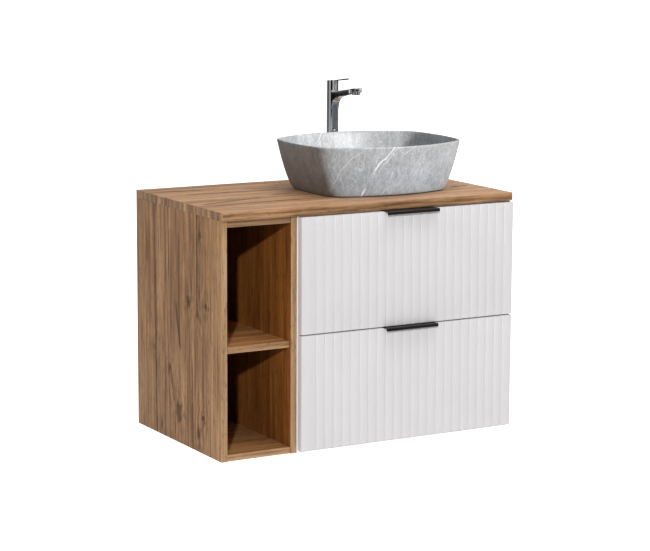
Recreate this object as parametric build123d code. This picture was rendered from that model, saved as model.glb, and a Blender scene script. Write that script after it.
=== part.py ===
from build123d import *
from math import radians, sqrt, tan
import os

os.makedirs("parts", exist_ok=True)

# Millimetres. X runs along the wall, Y = 0 is the wall, -Y is the front and
# Z = 0 is the underside of the cabinets.

# ---- furniture ----
WIDTH = 800  # overall, along the wall
BOARD = 16  # chipboard thickness
DEPTH = 460  # cabinet depth
HEIGHT = 570  # cabinet height
SHELF_UNIT_W = 200  # open shelf unit on the left
TOP_DEPTH, TOP_T = 470, 20  # worktop
TOP_ARRIS = 1.5
LEFT, RIGHT = -WIDTH / 2, WIDTH / 2
SPLIT = LEFT + SHELF_UNIT_W  # plane between the two cabinets
TOP_Z = HEIGHT + TOP_T  # upper face of the worktop

SHELF_Z = 256  # underside of the middle shelf
SHELF_RECESS = 9  # shelf behind the shelf unit's front edge
PANEL_RECESS = 3  # top and bottom panels behind that edge
BACK_T, BACK_Y = 3, -17  # back panel and its rear face
BACK_GROOVE = 6  # depth of the groove that holds it
FIT = 0.1  # sliding gap of a panel in a groove

DOWEL_R, DOWEL_L, DOWEL_IN_SIDE = 4, 30, 12
RAIL_W, RAIL_H = 80, 80  # front rail's depth, back rails' height

# ---- drawer fronts ----
FRONT_X0, FRONT_X1 = SPLIT + 2, RIGHT - 4
FRONT_T, FRONT_H = 18, 278.5
FRONT_GAP = 2.5  # between the cabinet's front edge and the front
FRONT_BACK = -DEPTH - FRONT_GAP
FRONT_FACE = FRONT_BACK - FRONT_T
FRONT_Z = {"lower": 7, "upper": 288.5}
FRONT_ARRIS = 1.2
GROOVE_FIRST, GROOVE_PITCH, GROOVE_COUNT = 40, 24, 23
GROOVE_R, GROOVE_DEPTH = 3, 2

# ---- edge pulls ----
PULL_X0, PULL_X1 = 27, 173
PULL_T = 1.5
PULL_OUT, PULL_LIP = 15, 6  # reach past the front, drop of the lip
PULL_FLANGE = 20  # down the rear of the front
PULL_BEND = 3
PULL_SCREWS = (45, 100, 155)
SCREW_R, HEAD_R = 1.5, 3

# ---- drawer boxes and runners ----
RUNNER_SPACE = 13
SIDE_T, BASE_T, BASE_UP = 15, 8, 8
BOX_LENGTH = 400
BOX_BACK = FRONT_BACK + BOX_LENGTH
BOX = {"lower": (25, 190), "upper": (305, 140)}  # bottom Z, height
RUNNER_UP = 50  # runner axis above the box's bottom
RUNNER_Y0, RUNNER_Y1 = -455, -55
RAIL_T = 1.2
WELL_X0, WELL_X1, WELL_Y = 47, 197, -310  # siphon guard, inner faces
WELL_T, WELL_R = 2.5, 35

# ---- wall hangers ----
HANGER_W, HANGER_Z0, HANGER_Z1 = 30, 440, 486
HANGER_X = (LEFT + 33, SPLIT - 33, SPLIT + 33, RIGHT - 33)
PLATE_T, PLATE_Z0, PLATE_Z1 = 2, 420, 488
PLATE_HOLE_R, PLATE_HOLES_Z = 3, (428, 450)

# ---- basin ----
BASIN_X, BASIN_Y = 117, -249
SEAL_T, SEAL_INSET, SEAL_W = 1.5, 5, 8
BASIN_Z = TOP_Z + SEAL_T
BASIN_H = 123
# half length, half width, bow of the long sides, bow of the ends, corner radius
BASIN_FOOT = (166, 141, 33, 6, 48)
BASIN_RIM = (214, 188, 70, 14, 62)
BELLY = 0.65  # exponent of the wall's outward curve
WALL = ((14, 96), (15, 66), (18, 41), (24, 24), (36, 14), (60, 9.5), (90, 8), (123, 7))
RIM_ARRIS = 1.4
DRAIN_R, RECESS_R, RECESS_Z = 23, 33.5, 11.5

# ---- waste and trap ----
WASTE_R, WASTE_BORE = 21, 17
WASTE_FLANGE_R, WASTE_FLANGE_T = 32.5, 3
WASTE_Z0 = 505
TOP_WASTE_R, TOP_TAP_R = 25, 17.5  # holes in the worktop
PLUG_R, PLUG_T, PLUG_STEM_R = 30, 5, 5
PIPE_R, PIPE_T = 16, 1.5
OUTLET_Z = 450
BOTTLE_R, BOTTLE_T = 30, 2.5
BOTTLE_Z0, BOTTLE_Z1 = 380, 480
CUP_Z0, CUP_Z1, CUP_T = 355, 400, 3
TIGHT = 0.05  # radial gap of a screwed or pushed fit

# ---- mixer ----
TAP_X, TAP_Y = 135, -38
TAP_R = 15
FOOT_R, FOOT_H, FOOT_SEAL = 22.5, 6, 1
SPIGOT_R, SPIGOT_Z = 16, -16
PIVOT_H = 212  # handle pivot above the worktop
DOME_R, DOME_GAP = 21.6, 0.6
BORE_R, BORE_H = 13, 186  # cartridge bore and its floor
SHOULDER_H = 218  # underside of the cartridge ring
SPOUT_W, SPOUT_REACH, SPOUT_RISE = 22, 131, 8.6
SPOUT_TOP = 226  # height of the spout's top where it leaves the body
AERATOR_Y, AERATOR_R, AERATOR_H = 118, 10.5, 225
CAP_BACK_H, CAP_FRONT_H = 252.2, 255.7
LEVER_REACH, LEVER_W, LEVER_T = 79, 9, 3
STEM_W, STEM_T, STEM_TILT = 4, 3, 11
TRUNNION_R, TRUNNION_L = 1.2, 10
STUD_R, STUD_Y, STUD_Z0 = 3.95, 9, -80
INLET_R, INLET_X, INLET_Y, INLET_DEPTH = 4.5, 7, -3, 14


def box(x0, x1, y0, y1, z0, z1):
    """A box between two corners."""
    centre = Pos((x0 + x1) / 2, (y0 + y1) / 2, (z0 + z1) / 2)
    return centre * Box(x1 - x0, y1 - y0, z1 - z0)


def rod(r, x, y, z0, z1):
    """An upright cylinder."""
    return Pos(x, y, (z0 + z1) / 2) * Cylinder(r, z1 - z0)


def tube(r, bore, x, y, z0, z1):
    """An upright tube."""
    return rod(r, x, y, z0, z1) - rod(bore, x, y, z0 - 1, z1 + 1)


def rod_x(r, y, z, x0, x1):
    """A cylinder along X."""
    return Pos((x0 + x1) / 2, y, z) * Rot(0, 90, 0) * Cylinder(r, x1 - x0)


def rod_y(r, x, z, y0, y1):
    """A cylinder along Y."""
    return Pos(x, (y0 + y1) / 2, z) * Rot(90, 0, 0) * Cylinder(r, y1 - y0)


def save(name, *shapes):
    """Writes one node, which may hold several separate solids."""
    solids = [solid for shape in shapes for solid in shape.solids()]
    whole = solids[0] if len(solids) == 1 else Compound(children=solids)
    export_step(whole, f"parts/{name}.step")


def cut_all(body, tools):
    """Takes every tool out of a body."""
    for tool in tools:
        body = body - tool
    return body


# ---- dowels: (X of the joint plane, direction into the side, Y, Z) ----
def dowel(plane, into_side, y, z, gap=0.0):
    """A dowel across a joint plane, or its hole when a gap is given."""
    deep = plane + into_side * (DOWEL_IN_SIDE + gap)
    far = plane - into_side * (DOWEL_L - DOWEL_IN_SIDE + gap)
    return rod_x(DOWEL_R + gap, y, z, min(deep, far), max(deep, far))


UNIT_IN = (LEFT + BOARD, SPLIT - BOARD)  # shelf unit's inner faces
CASE_IN = (SPLIT + BOARD, RIGHT - BOARD)  # drawer cabinet's inner faces
MID = BOARD / 2
dowels = {
    name: [(plane, side, y, z) for plane, side in zip(faces, (-1, 1)) for y, z in spots]
    for name, faces, spots in (
        ("shelf_unit_top", UNIT_IN, ((-400, HEIGHT - MID), (-80, HEIGHT - MID))),
        ("shelf_unit_bottom", UNIT_IN, ((-400, MID), (-80, MID))),
        ("shelf_unit_shelf", UNIT_IN, ((-400, SHELF_Z + MID), (-80, SHELF_Z + MID))),
        ("carcass_bottom", CASE_IN, ((-400, MID), (-80, MID))),
        ("carcass_front_rail", CASE_IN, ((-440, HEIGHT - MID), (-400, HEIGHT - MID))),
        ("carcass_back_rail", CASE_IN, ((-MID, HEIGHT - 20), (-MID, HEIGHT - 60))),
        ("carcass_lower_rail", CASE_IN, ((-MID, BOARD + 20), (-MID, BOARD + 60))),
    )
}
save("dowels", *[dowel(*spot) for spots in dowels.values() for spot in spots])


def drilled(board, *names):
    """A board with the dowel holes of the named joints."""
    return cut_all(board, [dowel(*spot, FIT) for name in names for spot in dowels[name]])


# ---- screws ----
def screw(length, head_r=4.0, r=2.0, grow=0.0):
    """A countersunk screw along +Z with its head's face at Z = 0."""
    sink = head_r - r
    head = Pos(0, 0, sink / 2) * Cone(head_r + grow, r + grow, sink)
    return head + Pos(0, 0, (length + sink) / 2) * Cylinder(r + grow, length - sink)


def placed(spots, place, length, grow=0.0, **sizes):
    """The same screw at every spot."""
    return [place(*spot) * screw(length, grow=grow, **sizes) for spot in spots]


def upward(x, y, z):
    return Pos(x, y, z)


def leftward(y, z):
    return Pos(SPLIT + BOARD, y, z) * Rot(0, -90, 0)


TOP_SCREW_L, JOIN_SCREW_L = 30, 28
top_screws = [
    (x, y, HEIGHT - BOARD)
    for x, y in (
        (LEFT + 50, -400),
        (SPLIT - 50, -400),
        (LEFT + 50, -60),
        (SPLIT - 50, -60),
        (SPLIT + 100, -420),
        (RIGHT - 100, -420),
    )
]
join_screws = [(-440, 540), (-440, 30), (-40, 540), (-40, 30)]
save("worktop_screws", *placed(top_screws, upward, TOP_SCREW_L))
save("joining_screws", *placed(join_screws, leftward, JOIN_SCREW_L))
top_holes = placed(top_screws, upward, TOP_SCREW_L, TIGHT)
join_holes = placed(join_screws, leftward, JOIN_SCREW_L, TIGHT)

# ---- shelf unit ----
back = box(
    UNIT_IN[0] - BACK_GROOVE + FIT,
    UNIT_IN[1] + BACK_GROOVE - FIT,
    BACK_Y - BACK_T,
    BACK_Y,
    BOARD - BACK_GROOVE + FIT,
    HEIGHT - BOARD + BACK_GROOVE - FIT,
)
back_groove = box(
    UNIT_IN[0] - BACK_GROOVE,
    UNIT_IN[1] + BACK_GROOVE,
    BACK_Y - BACK_T - FIT,
    BACK_Y + FIT,
    BOARD - BACK_GROOVE,
    HEIGHT - BOARD + BACK_GROOVE,
)
unit_joints = ("shelf_unit_top", "shelf_unit_bottom", "shelf_unit_shelf")
for side, x in (("left", LEFT), ("right", SPLIT - BOARD)):
    panel = box(x, x + BOARD, -DEPTH, 0, 0, HEIGHT) - back_groove
    panel = drilled(panel, *unit_joints)
    if side == "right":
        panel = cut_all(panel, join_holes)
    save(f"shelf_unit_side_{side}", panel)
save("shelf_unit_back", back)
for level, z in (("top", HEIGHT - BOARD), ("bottom", 0)):
    panel = box(*UNIT_IN, -DEPTH + PANEL_RECESS, 0, z, z + BOARD) - back_groove
    panel = drilled(panel, f"shelf_unit_{level}")
    save(f"shelf_unit_{level}", cut_all(panel, top_holes) if level == "top" else panel)
shelf = box(*UNIT_IN, -DEPTH + SHELF_RECESS, BACK_Y - BACK_T - FIT, SHELF_Z, SHELF_Z + BOARD)
save("shelf_unit_shelf", drilled(shelf, "shelf_unit_shelf"))

# ---- drawer cabinet ----
case_joints = ("carcass_bottom", "carcass_front_rail", "carcass_back_rail", "carcass_lower_rail")
for side, x in (("left", SPLIT), ("right", RIGHT - BOARD)):
    panel = drilled(box(x, x + BOARD, -DEPTH, 0, 0, HEIGHT), *case_joints)
    save(f"carcass_side_{side}", cut_all(panel, join_holes) if side == "left" else panel)
save("carcass_bottom", drilled(box(*CASE_IN, -DEPTH, 0, 0, BOARD), "carcass_bottom"))
front_rail = box(*CASE_IN, -DEPTH, -DEPTH + RAIL_W, HEIGHT - BOARD, HEIGHT)
save("carcass_front_rail", cut_all(drilled(front_rail, "carcass_front_rail"), top_holes))
back_rail = box(*CASE_IN, -BOARD, 0, HEIGHT - RAIL_H, HEIGHT)
save("carcass_back_rail", drilled(back_rail, "carcass_back_rail"))
lower_rail = box(*CASE_IN, -BOARD, 0, BOARD, BOARD + RAIL_H)
save("carcass_lower_rail", drilled(lower_rail, "carcass_lower_rail"))

# ---- worktop ----
worktop = box(LEFT, RIGHT, -TOP_DEPTH, 0, HEIGHT, TOP_Z)
worktop = fillet(worktop.faces().sort_by(Axis.Y)[0].edges().filter_by(Axis.X), TOP_ARRIS)
worktop -= rod(TOP_TAP_R, TAP_X, TAP_Y, HEIGHT - 1, TOP_Z + 1)
worktop -= rod(TOP_WASTE_R, BASIN_X, BASIN_Y, HEIGHT - 1, TOP_Z + 1)
save("worktop", cut_all(worktop, top_holes))

# ---- wall hangers and their plates ----
HOOK_T, LIP_Y, WEB_Z, HOOK_TOP = 1.6, -5.8, 458, 476
hangers, plates = [], []
for x in HANGER_X:
    x0, x1 = x - HANGER_W / 2, x + HANGER_W / 2
    case = box(x0, x1, BACK_Y, LIP_Y - 0.2, HANGER_Z0, HANGER_Z1)
    arm = box(x0 + 5, x1 - 5, LIP_Y - 0.2, -PLATE_T - 0.2, HOOK_TOP, HOOK_TOP + 3)
    tongue_y = -PLATE_T - 0.2 - HOOK_T
    tongue = box(x0 + 5, x1 - 5, tongue_y, -PLATE_T - 0.2, WEB_Z + PLATE_T, HOOK_TOP)
    hangers.append(case + arm + tongue)
    plate = box(x0, x1, -PLATE_T, 0, PLATE_Z0, PLATE_Z1)
    web = box(x0 + 3, x1 - 3, LIP_Y, -PLATE_T, WEB_Z, WEB_Z + PLATE_T)
    lip = box(x0 + 3, x1 - 3, LIP_Y, LIP_Y + HOOK_T, WEB_Z, WEB_Z + 14)
    holes = [rod_y(PLATE_HOLE_R, x, z, -PLATE_T - 1, 1) for z in PLATE_HOLES_Z]
    plates.append(cut_all(plate + web + lip, holes))
save("hangers", *hangers)
save("wall_plates", *plates)


# ---- drawers ----
def front_board(z):
    """A drawer front with its vertical grooves and handle screw holes."""
    board = box(FRONT_X0, FRONT_X1, FRONT_FACE, FRONT_BACK, z, z + FRONT_H)
    board = fillet(board.faces().sort_by(Axis.Y)[0].edges(), FRONT_ARRIS)
    axis_y = FRONT_FACE - GROOVE_R + GROOVE_DEPTH
    grooves = [
        rod(GROOVE_R, FRONT_X0 + GROOVE_FIRST + i * GROOVE_PITCH, axis_y, z - 1, z + FRONT_H + 1)
        for i in range(GROOVE_COUNT)
    ]
    return cut_all(board, grooves + pull_screws(z + FRONT_H, TIGHT))


def pull_screws(top, grow=0.0):
    """The screws that hold an edge pull, driven forward into the front."""
    y, z = FRONT_BACK + PULL_T, top - PULL_FLANGE / 2
    place = [Pos(x, y, z) * Rot(90, 0, 0) for x in PULL_SCREWS]
    return [spot * screw(13, HEAD_R, SCREW_R, grow) for spot in place]


def edge_pull(top):
    """A bent sheet over the top edge of a front, with a lip that turns down."""
    rear, tip = FRONT_BACK + PULL_T, FRONT_FACE - PULL_OUT
    outline = [
        (rear, top - PULL_FLANGE),
        (rear, top + PULL_T),
        (tip, top + PULL_T),
        (tip, top - PULL_LIP),
        (tip + PULL_T, top - PULL_LIP),
        (tip + PULL_T, top),
        (FRONT_BACK, top),
        (FRONT_BACK, top - PULL_FLANGE),
    ]
    face = make_face(Polyline(*[(0, y, z) for y, z in outline], close=True))
    sheet = extrude(face, PULL_X1 - PULL_X0, dir=(1, 0, 0)).moved(Location((PULL_X0, 0, 0)))
    outer = sheet.edges().filter_by(Axis.X).filter_by_position(Axis.Y, tip, tip).sort_by(Axis.Z)[-1]
    sheet = fillet(outer, PULL_BEND)
    bend_y = tip + PULL_T
    inner = sheet.edges().filter_by(Axis.X).filter_by_position(Axis.Y, bend_y, bend_y).sort_by(Axis.Z)[-1]
    sheet = fillet(inner, PULL_BEND - PULL_T)
    return cut_all(sheet, pull_screws(top, TIGHT))


def channel(wall, into, z, near, far, half, y0, y1, web_near):
    """A rail of C section; near and far are distances from the cabinet's wall."""
    web = (near, near + RAIL_T) if web_near else (far - RAIL_T, far)

    def strip(u0, u1, z0, z1):
        x = sorted((wall + into * u0, wall + into * u1))
        return box(*x, y0, y1, z0, z1)

    profile = strip(*web, z - half, z + half)
    for z0 in (z - half, z + half - RAIL_T):
        profile += strip(near, far, z0, z0 + RAIL_T)
    return profile


def runner_pair(z, *section):
    """The left and right rails of one kind."""
    walls = ((CASE_IN[0], 1), (CASE_IN[1], -1))
    return [channel(wall, into, z, *section) for wall, into in walls]


BOX_X0, BOX_X1 = CASE_IN[0] + RUNNER_SPACE, CASE_IN[1] - RUNNER_SPACE
IN_X0, IN_X1 = BOX_X0 + SIDE_T, BOX_X1 - SIDE_T
fixed_rails = []
for name in ("upper", "lower"):
    z0, high = BOX[name]
    top = FRONT_Z[name] + FRONT_H
    base = z0 + BASE_UP + BASE_T
    prefix = f"drawer_{name}"
    save(f"{prefix}_front", front_board(FRONT_Z[name]))
    save(f"{prefix}_pull", edge_pull(top))
    save(f"{prefix}_pull_screws", *pull_screws(top))
    save(f"{prefix}_side_left", box(BOX_X0, IN_X0, FRONT_BACK, BOX_BACK, z0, z0 + high))
    save(f"{prefix}_side_right", box(IN_X1, BOX_X1, FRONT_BACK, BOX_BACK, z0, z0 + high))
    bottom = box(IN_X0, IN_X1, FRONT_BACK, BOX_BACK, z0 + BASE_UP, base)
    rear = box(IN_X0, IN_X1, BOX_BACK - SIDE_T, BOX_BACK, base, z0 + high)
    if name == "upper":
        well = box(
            WELL_X0 - WELL_T, WELL_X1 + WELL_T, WELL_Y - WELL_T, BOX_BACK + 1, z0 + BASE_UP, z0 + high
        )
        well = fillet(well.edges().filter_by(Axis.Z).group_by(Axis.Y)[0], WELL_R + WELL_T)
        hole = box(WELL_X0, WELL_X1, WELL_Y, BOX_BACK + 2, z0, z0 + high + 1)
        hole = fillet(hole.edges().filter_by(Axis.Z).group_by(Axis.Y)[0], WELL_R)
        inside = box(LEFT, RIGHT, -DEPTH, BOX_BACK, z0, z0 + high)
        save(f"{prefix}_siphon_guard", (well - hole) & inside)
        bottom, rear = bottom - well, rear - well
    save(f"{prefix}_bottom", bottom)
    save(f"{prefix}_back", rear)
    axis = z0 + RUNNER_UP
    fixed_rails += runner_pair(axis, 0, 9.5, 22.5, RUNNER_Y0, RUNNER_Y1, True)
    middle = runner_pair(axis, 1.8, 11, 20.9, RUNNER_Y0, RUNNER_Y1, True)
    save(f"runner_{name}_middle", *middle)
    inner = runner_pair(axis, 4, RUNNER_SPACE, 19.3, RUNNER_Y0 - 4, RUNNER_Y1 - 10, False)
    save(f"runner_{name}_inner", *inner)
save("runner_fixed", *fixed_rails)


# ---- basin ----
def outline(a, b, bow, end_bow, radius, z):
    """A rectangle with bowed sides and rounded corners at height z."""
    x, y = a - end_bow, b - bow
    sides = (
        ThreePointArc((-x, -y), (0, -b), (x, -y)),
        ThreePointArc((x, -y), (a, 0), (x, y)),
        ThreePointArc((x, y), (0, b), (-x, y)),
        ThreePointArc((-x, y), (-a, 0), (-x, -y)),
    )
    face = make_face(Curve() + list(sides))
    return Pos(BASIN_X, BASIN_Y, z) * fillet(face.vertices(), radius)


def wall_section(h, inset=0.0):
    """The basin's outline h above its foot, drawn in by inset."""
    t = (h / BASIN_H) ** BELLY
    a, b, bow, end_bow, radius = (p + t * (q - p) for p, q in zip(BASIN_FOOT, BASIN_RIM))
    k = (b - inset) / b
    return outline(a - inset, b - inset, bow * k, end_bow * k, radius * k, BASIN_Z + h)


outer = loft([wall_section(h * BASIN_H / 4) for h in range(5)])
hollow = loft([wall_section(h, inset) for h, inset in WALL])
hollow += extrude(wall_section(*WALL[-1]), 1)
basin = outer - hollow
rim = [e for e in basin.edges() if e.center().Z > BASIN_Z + BASIN_H - 0.5]
basin = chamfer(rim, RIM_ARRIS)
basin -= rod(DRAIN_R, BASIN_X, BASIN_Y, BASIN_Z - 1, BASIN_Z + 30)
basin -= rod(RECESS_R, BASIN_X, BASIN_Y, BASIN_Z + RECESS_Z, BASIN_Z + 30)
save("basin", basin)


def foot(inset, t):
    a, b, bow, end_bow, radius = BASIN_FOOT
    face = outline(a - inset, b - inset, bow, end_bow, radius - inset, TOP_Z)
    return extrude(face, t)


save("basin_seal", foot(SEAL_INSET, SEAL_T) - foot(SEAL_INSET + SEAL_W, SEAL_T))

# ---- waste ----
flange_z = BASIN_Z + RECESS_Z
flange_top = flange_z + WASTE_FLANGE_T
waste = tube(WASTE_FLANGE_R, WASTE_BORE, BASIN_X, BASIN_Y, flange_z, flange_top)
waste += tube(WASTE_R, WASTE_BORE, BASIN_X, BASIN_Y, WASTE_Z0, flange_z)
BUSH_Z0, BUSH_Z1 = 552, 562
for turn in range(3):
    arm = Rot(0, 0, 120 * turn) * box(PLUG_STEM_R + 1, WASTE_BORE + 1, -1.5, 1.5, BUSH_Z0, BUSH_Z1)
    waste += Pos(BASIN_X, BASIN_Y, 0) * arm
waste += tube(PLUG_STEM_R + 3, PLUG_STEM_R + TIGHT, BASIN_X, BASIN_Y, BUSH_Z0, BUSH_Z1)
save("waste_body", waste)

plug_z = flange_top + 0.2
plug = rod(PLUG_R, BASIN_X, BASIN_Y, plug_z, plug_z + PLUG_T)
plug = fillet(plug.edges().group_by(Axis.Z)[-1], 2.5)
plug += rod(PLUG_STEM_R, BASIN_X, BASIN_Y, BUSH_Z0 - 6, plug_z + 1)
save("waste_plug", plug)


def hex_nut(across, bore, x, y, z0, z1):
    """A hexagon nut."""
    prism = extrude(Pos(x, y, z0) * RegularPolygon(across / 2, 6, major_radius=False), z1 - z0)
    return prism - rod(bore, x, y, z0 - 1, z1 + 1)


save("waste_nut", hex_nut(56, WASTE_R + TIGHT, BASIN_X, BASIN_Y, HEIGHT - 12, HEIGHT))

# ---- trap ----
COLLAR_R = 25
tail = tube(PIPE_R, PIPE_R - PIPE_T, BASIN_X, BASIN_Y, 400, WASTE_Z0)
tail += tube(20, PIPE_R - PIPE_T, BASIN_X, BASIN_Y, WASTE_Z0 - 2, WASTE_Z0)
save("trap_tailpipe", tail)

neck_top = BOTTLE_Z1 + 10
bottle = tube(BOTTLE_R, BOTTLE_R - BOTTLE_T, BASIN_X, BASIN_Y, BOTTLE_Z0, BOTTLE_Z1)
bottle += tube(BOTTLE_R, PIPE_R + TIGHT, BASIN_X, BASIN_Y, BOTTLE_Z1 - 3, BOTTLE_Z1)
bottle += tube(20, PIPE_R + TIGHT, BASIN_X, BASIN_Y, BOTTLE_Z1, neck_top)
PORT_Y = BASIN_Y + 50
port = rod_y(20, BASIN_X, OUTLET_Z, BASIN_Y + BOTTLE_R - 6, PORT_Y)
port -= rod(BOTTLE_R - BOTTLE_T, BASIN_X, BASIN_Y, BOTTLE_Z0, BOTTLE_Z1 - 3)
bottle += port
bottle -= rod_y(PIPE_R + TIGHT, BASIN_X, OUTLET_Z, BASIN_Y, PORT_Y + 1)
save("trap_bottle", bottle)

cup = rod(BOTTLE_R + CUP_T, BASIN_X, BASIN_Y, CUP_Z0, CUP_Z1)
cup = fillet(cup.edges().group_by(Axis.Z)[0], 5)
cup -= rod(BOTTLE_R + TIGHT, BASIN_X, BASIN_Y, BOTTLE_Z0, CUP_Z1 + 1)
cup -= rod(BOTTLE_R - BOTTLE_T, BASIN_X, BASIN_Y, CUP_Z0 + CUP_T, BOTTLE_Z0)
save("trap_cup", cup)

waste_collar = tube(WASTE_R + 6, WASTE_R + TIGHT, BASIN_X, BASIN_Y, WASTE_Z0, WASTE_Z0 + 15)
waste_collar += tube(WASTE_R + 6, 20 + TIGHT, BASIN_X, BASIN_Y, WASTE_Z0 - 2, WASTE_Z0)
waste_collar += tube(WASTE_R + 6, PIPE_R + TIGHT, BASIN_X, BASIN_Y, WASTE_Z0 - 5, WASTE_Z0 - 2)
neck_collar = tube(COLLAR_R, 20 + TIGHT, BASIN_X, BASIN_Y, BOTTLE_Z1 + 0.5, neck_top)
neck_collar += tube(COLLAR_R, PIPE_R + TIGHT, BASIN_X, BASIN_Y, neck_top, neck_top + 3)
port_collar = rod_y(COLLAR_R, BASIN_X, OUTLET_Z, PORT_Y - 12, PORT_Y + 3)
port_collar -= rod_y(20 + TIGHT, BASIN_X, OUTLET_Z, PORT_Y - 13, PORT_Y)
port_collar -= rod_y(PIPE_R + TIGHT, BASIN_X, OUTLET_Z, PORT_Y - 1, PORT_Y + 4)
save("trap_nuts", waste_collar, neck_collar, port_collar)

outlet = rod_y(PIPE_R, BASIN_X, OUTLET_Z, PORT_Y - 15, 0)
outlet -= rod_y(PIPE_R - PIPE_T, BASIN_X, OUTLET_Z, PORT_Y - 16, 1)
save("trap_outlet_pipe", outlet)
rosette = rod_y(34, BASIN_X, OUTLET_Z, -3, 0) + rod_y(19, BASIN_X, OUTLET_Z, -12, -3)
save("trap_rosette", rosette - rod_y(PIPE_R + TIGHT, BASIN_X, OUTLET_Z, -13, 1))


# ---- mixer, drawn about its own axis with Z = 0 on the worktop ----
def at_tap(shape):
    return Pos(TAP_X, TAP_Y, TOP_Z) * shape


def dome_z(r):
    """Height of the dome over the cartridge at radius r."""
    return PIVOT_H + sqrt(DOME_R**2 - r**2)


def turned(start, *points, arc_to):
    """Turns a profile of (radius, height) points that ends on the dome's arc."""
    r0, r1 = points[-1][0], arc_to[0]
    mid = ((r0 + r1) / 2, dome_z((r0 + r1) / 2))
    path = [(r, 0, z) for r, z in (start, *points)]
    lines = Polyline(*path).edges()
    arc = ThreePointArc(path[-1], (mid[0], 0, mid[1]), (r1, 0, arc_to[1]))
    close = Polyline((r1, 0, arc_to[1]), (r1, 0, start[1]), path[0]).edges()
    return revolve(make_face([*lines, arc, *close]), Axis.Z)


pivot = Pos(0, 0, PIVOT_H)
save("tap_base_seal", at_tap(tube(FOOT_R - 1, SPIGOT_R + TIGHT, 0, 0, 0, FOOT_SEAL)))

foot_top = FOOT_SEAL + FOOT_H
body = turned(
    (TAP_R - 1, BORE_H),
    (TAP_R, BORE_H),
    (TAP_R, dome_z(TAP_R)),
    arc_to=(BORE_R, dome_z(BORE_R)),
)
body += rod(TAP_R, 0, 0, FOOT_SEAL, BORE_H) + rod(SPIGOT_R, 0, 0, SPIGOT_Z, FOOT_SEAL)
flange = rod(FOOT_R, 0, 0, FOOT_SEAL, foot_top)
body += fillet(flange.edges().group_by(Axis.Z)[-1], 2)

rise = tan(radians(SPOUT_RISE))
tip_z = SPOUT_TOP + (SPOUT_REACH - TAP_R) * rise
SPOUT_TIP_T, SPOUT_ROOT_Z = 10, 192
under = Spline(
    (0, -TAP_R + 1, SPOUT_ROOT_Z),
    (0, -30, 210.5),
    (0, -56, 218.5),
    (0, -SPOUT_REACH, tip_z - SPOUT_TIP_T),
    tangents=((0, -0.35, 1), (0, -1, rise)),
)
edge = Polyline(
    (0, -SPOUT_REACH, tip_z - SPOUT_TIP_T),
    (0, -SPOUT_REACH, tip_z),
    (0, -TAP_R, SPOUT_TOP),
    (0, 0, SPOUT_TOP - 6),
    (0, 0, SPOUT_ROOT_Z),
    (0, -TAP_R + 1, SPOUT_ROOT_Z),
)
spout = extrude(make_face([under, *edge.edges()]), SPOUT_W / 2, dir=(1, 0, 0), both=True)
spout = fillet(spout.faces().sort_by(Axis.Y)[0].edges(), 2.4)
body += spout - rod(BORE_R, 0, 0, BORE_H, TOP_Z)
body += rod(AERATOR_R + 1.5, 0, -AERATOR_Y, AERATOR_H + 4, tip_z - 6)
body -= rod(AERATOR_R - 1.5, 0, -AERATOR_Y, AERATOR_H, AERATOR_H + 9)
body -= rod(STUD_R + TIGHT, 0, STUD_Y, SPIGOT_Z - 1, SPIGOT_Z + 12)
for x in (-INLET_X, INLET_X):
    body -= rod(INLET_R, x, INLET_Y, SPIGOT_Z - 1, SPIGOT_Z + INLET_DEPTH)
save("tap_body", at_tap(body))

AERATOR_BORE = AERATOR_R - 1.5 - TIGHT
aerator = rod(AERATOR_BORE, 0, -AERATOR_Y, AERATOR_H + 3.5, AERATOR_H + 8)
aerator += rod(AERATOR_R, 0, -AERATOR_Y, AERATOR_H, AERATOR_H + 3.9)
aerator -= rod(6.5, 0, -AERATOR_Y, AERATOR_H - 1, AERATOR_H + 1.5)
save("tap_aerator", at_tap(aerator))

NECK_R, CARRIER_R, SEAT_H = 9, 6.6, 205
neck_z = PIVOT_H + 13
cartridge = rod(BORE_R - 0.5, 0, 0, BORE_H, SHOULDER_H) + rod(NECK_R, 0, 0, SHOULDER_H, neck_z)
cartridge -= rod(CARRIER_R + TIGHT, 0, 0, SEAT_H, neck_z + 1)
save("tap_cartridge", at_tap(cartridge))

ring_r = BORE_R - TIGHT
ring = turned((ring_r, SHOULDER_H), (ring_r, dome_z(ring_r)), arc_to=(NECK_R, dome_z(NECK_R)))
ring -= rod(NECK_R + TIGHT, 0, 0, SHOULDER_H - 1, neck_z)
save("tap_cartridge_ring", at_tap(ring))

SLOT = 0.3
carrier = rod(CARRIER_R, 0, 0, SEAT_H + 0.1, neck_z)
carrier -= box(-STEM_W / 2 - SLOT, STEM_W / 2 + SLOT, -10, 10, PIVOT_H - 3, neck_z + 1)
carrier -= rod_x(TRUNNION_R + TIGHT, 0, PIVOT_H, -10, 10)
save("tap_stem_carrier", at_tap(carrier))

STEM_TOP = 31
stem = box(-STEM_W / 2, STEM_W / 2, -STEM_T / 2, STEM_T / 2, -1.5, STEM_TOP)
stem = pivot * (Rot(STEM_TILT, 0, 0) * stem + rod_x(TRUNNION_R, 0, 0, -TRUNNION_L / 2, TRUNNION_L / 2))
save("tap_stem", at_tap(stem))

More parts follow.
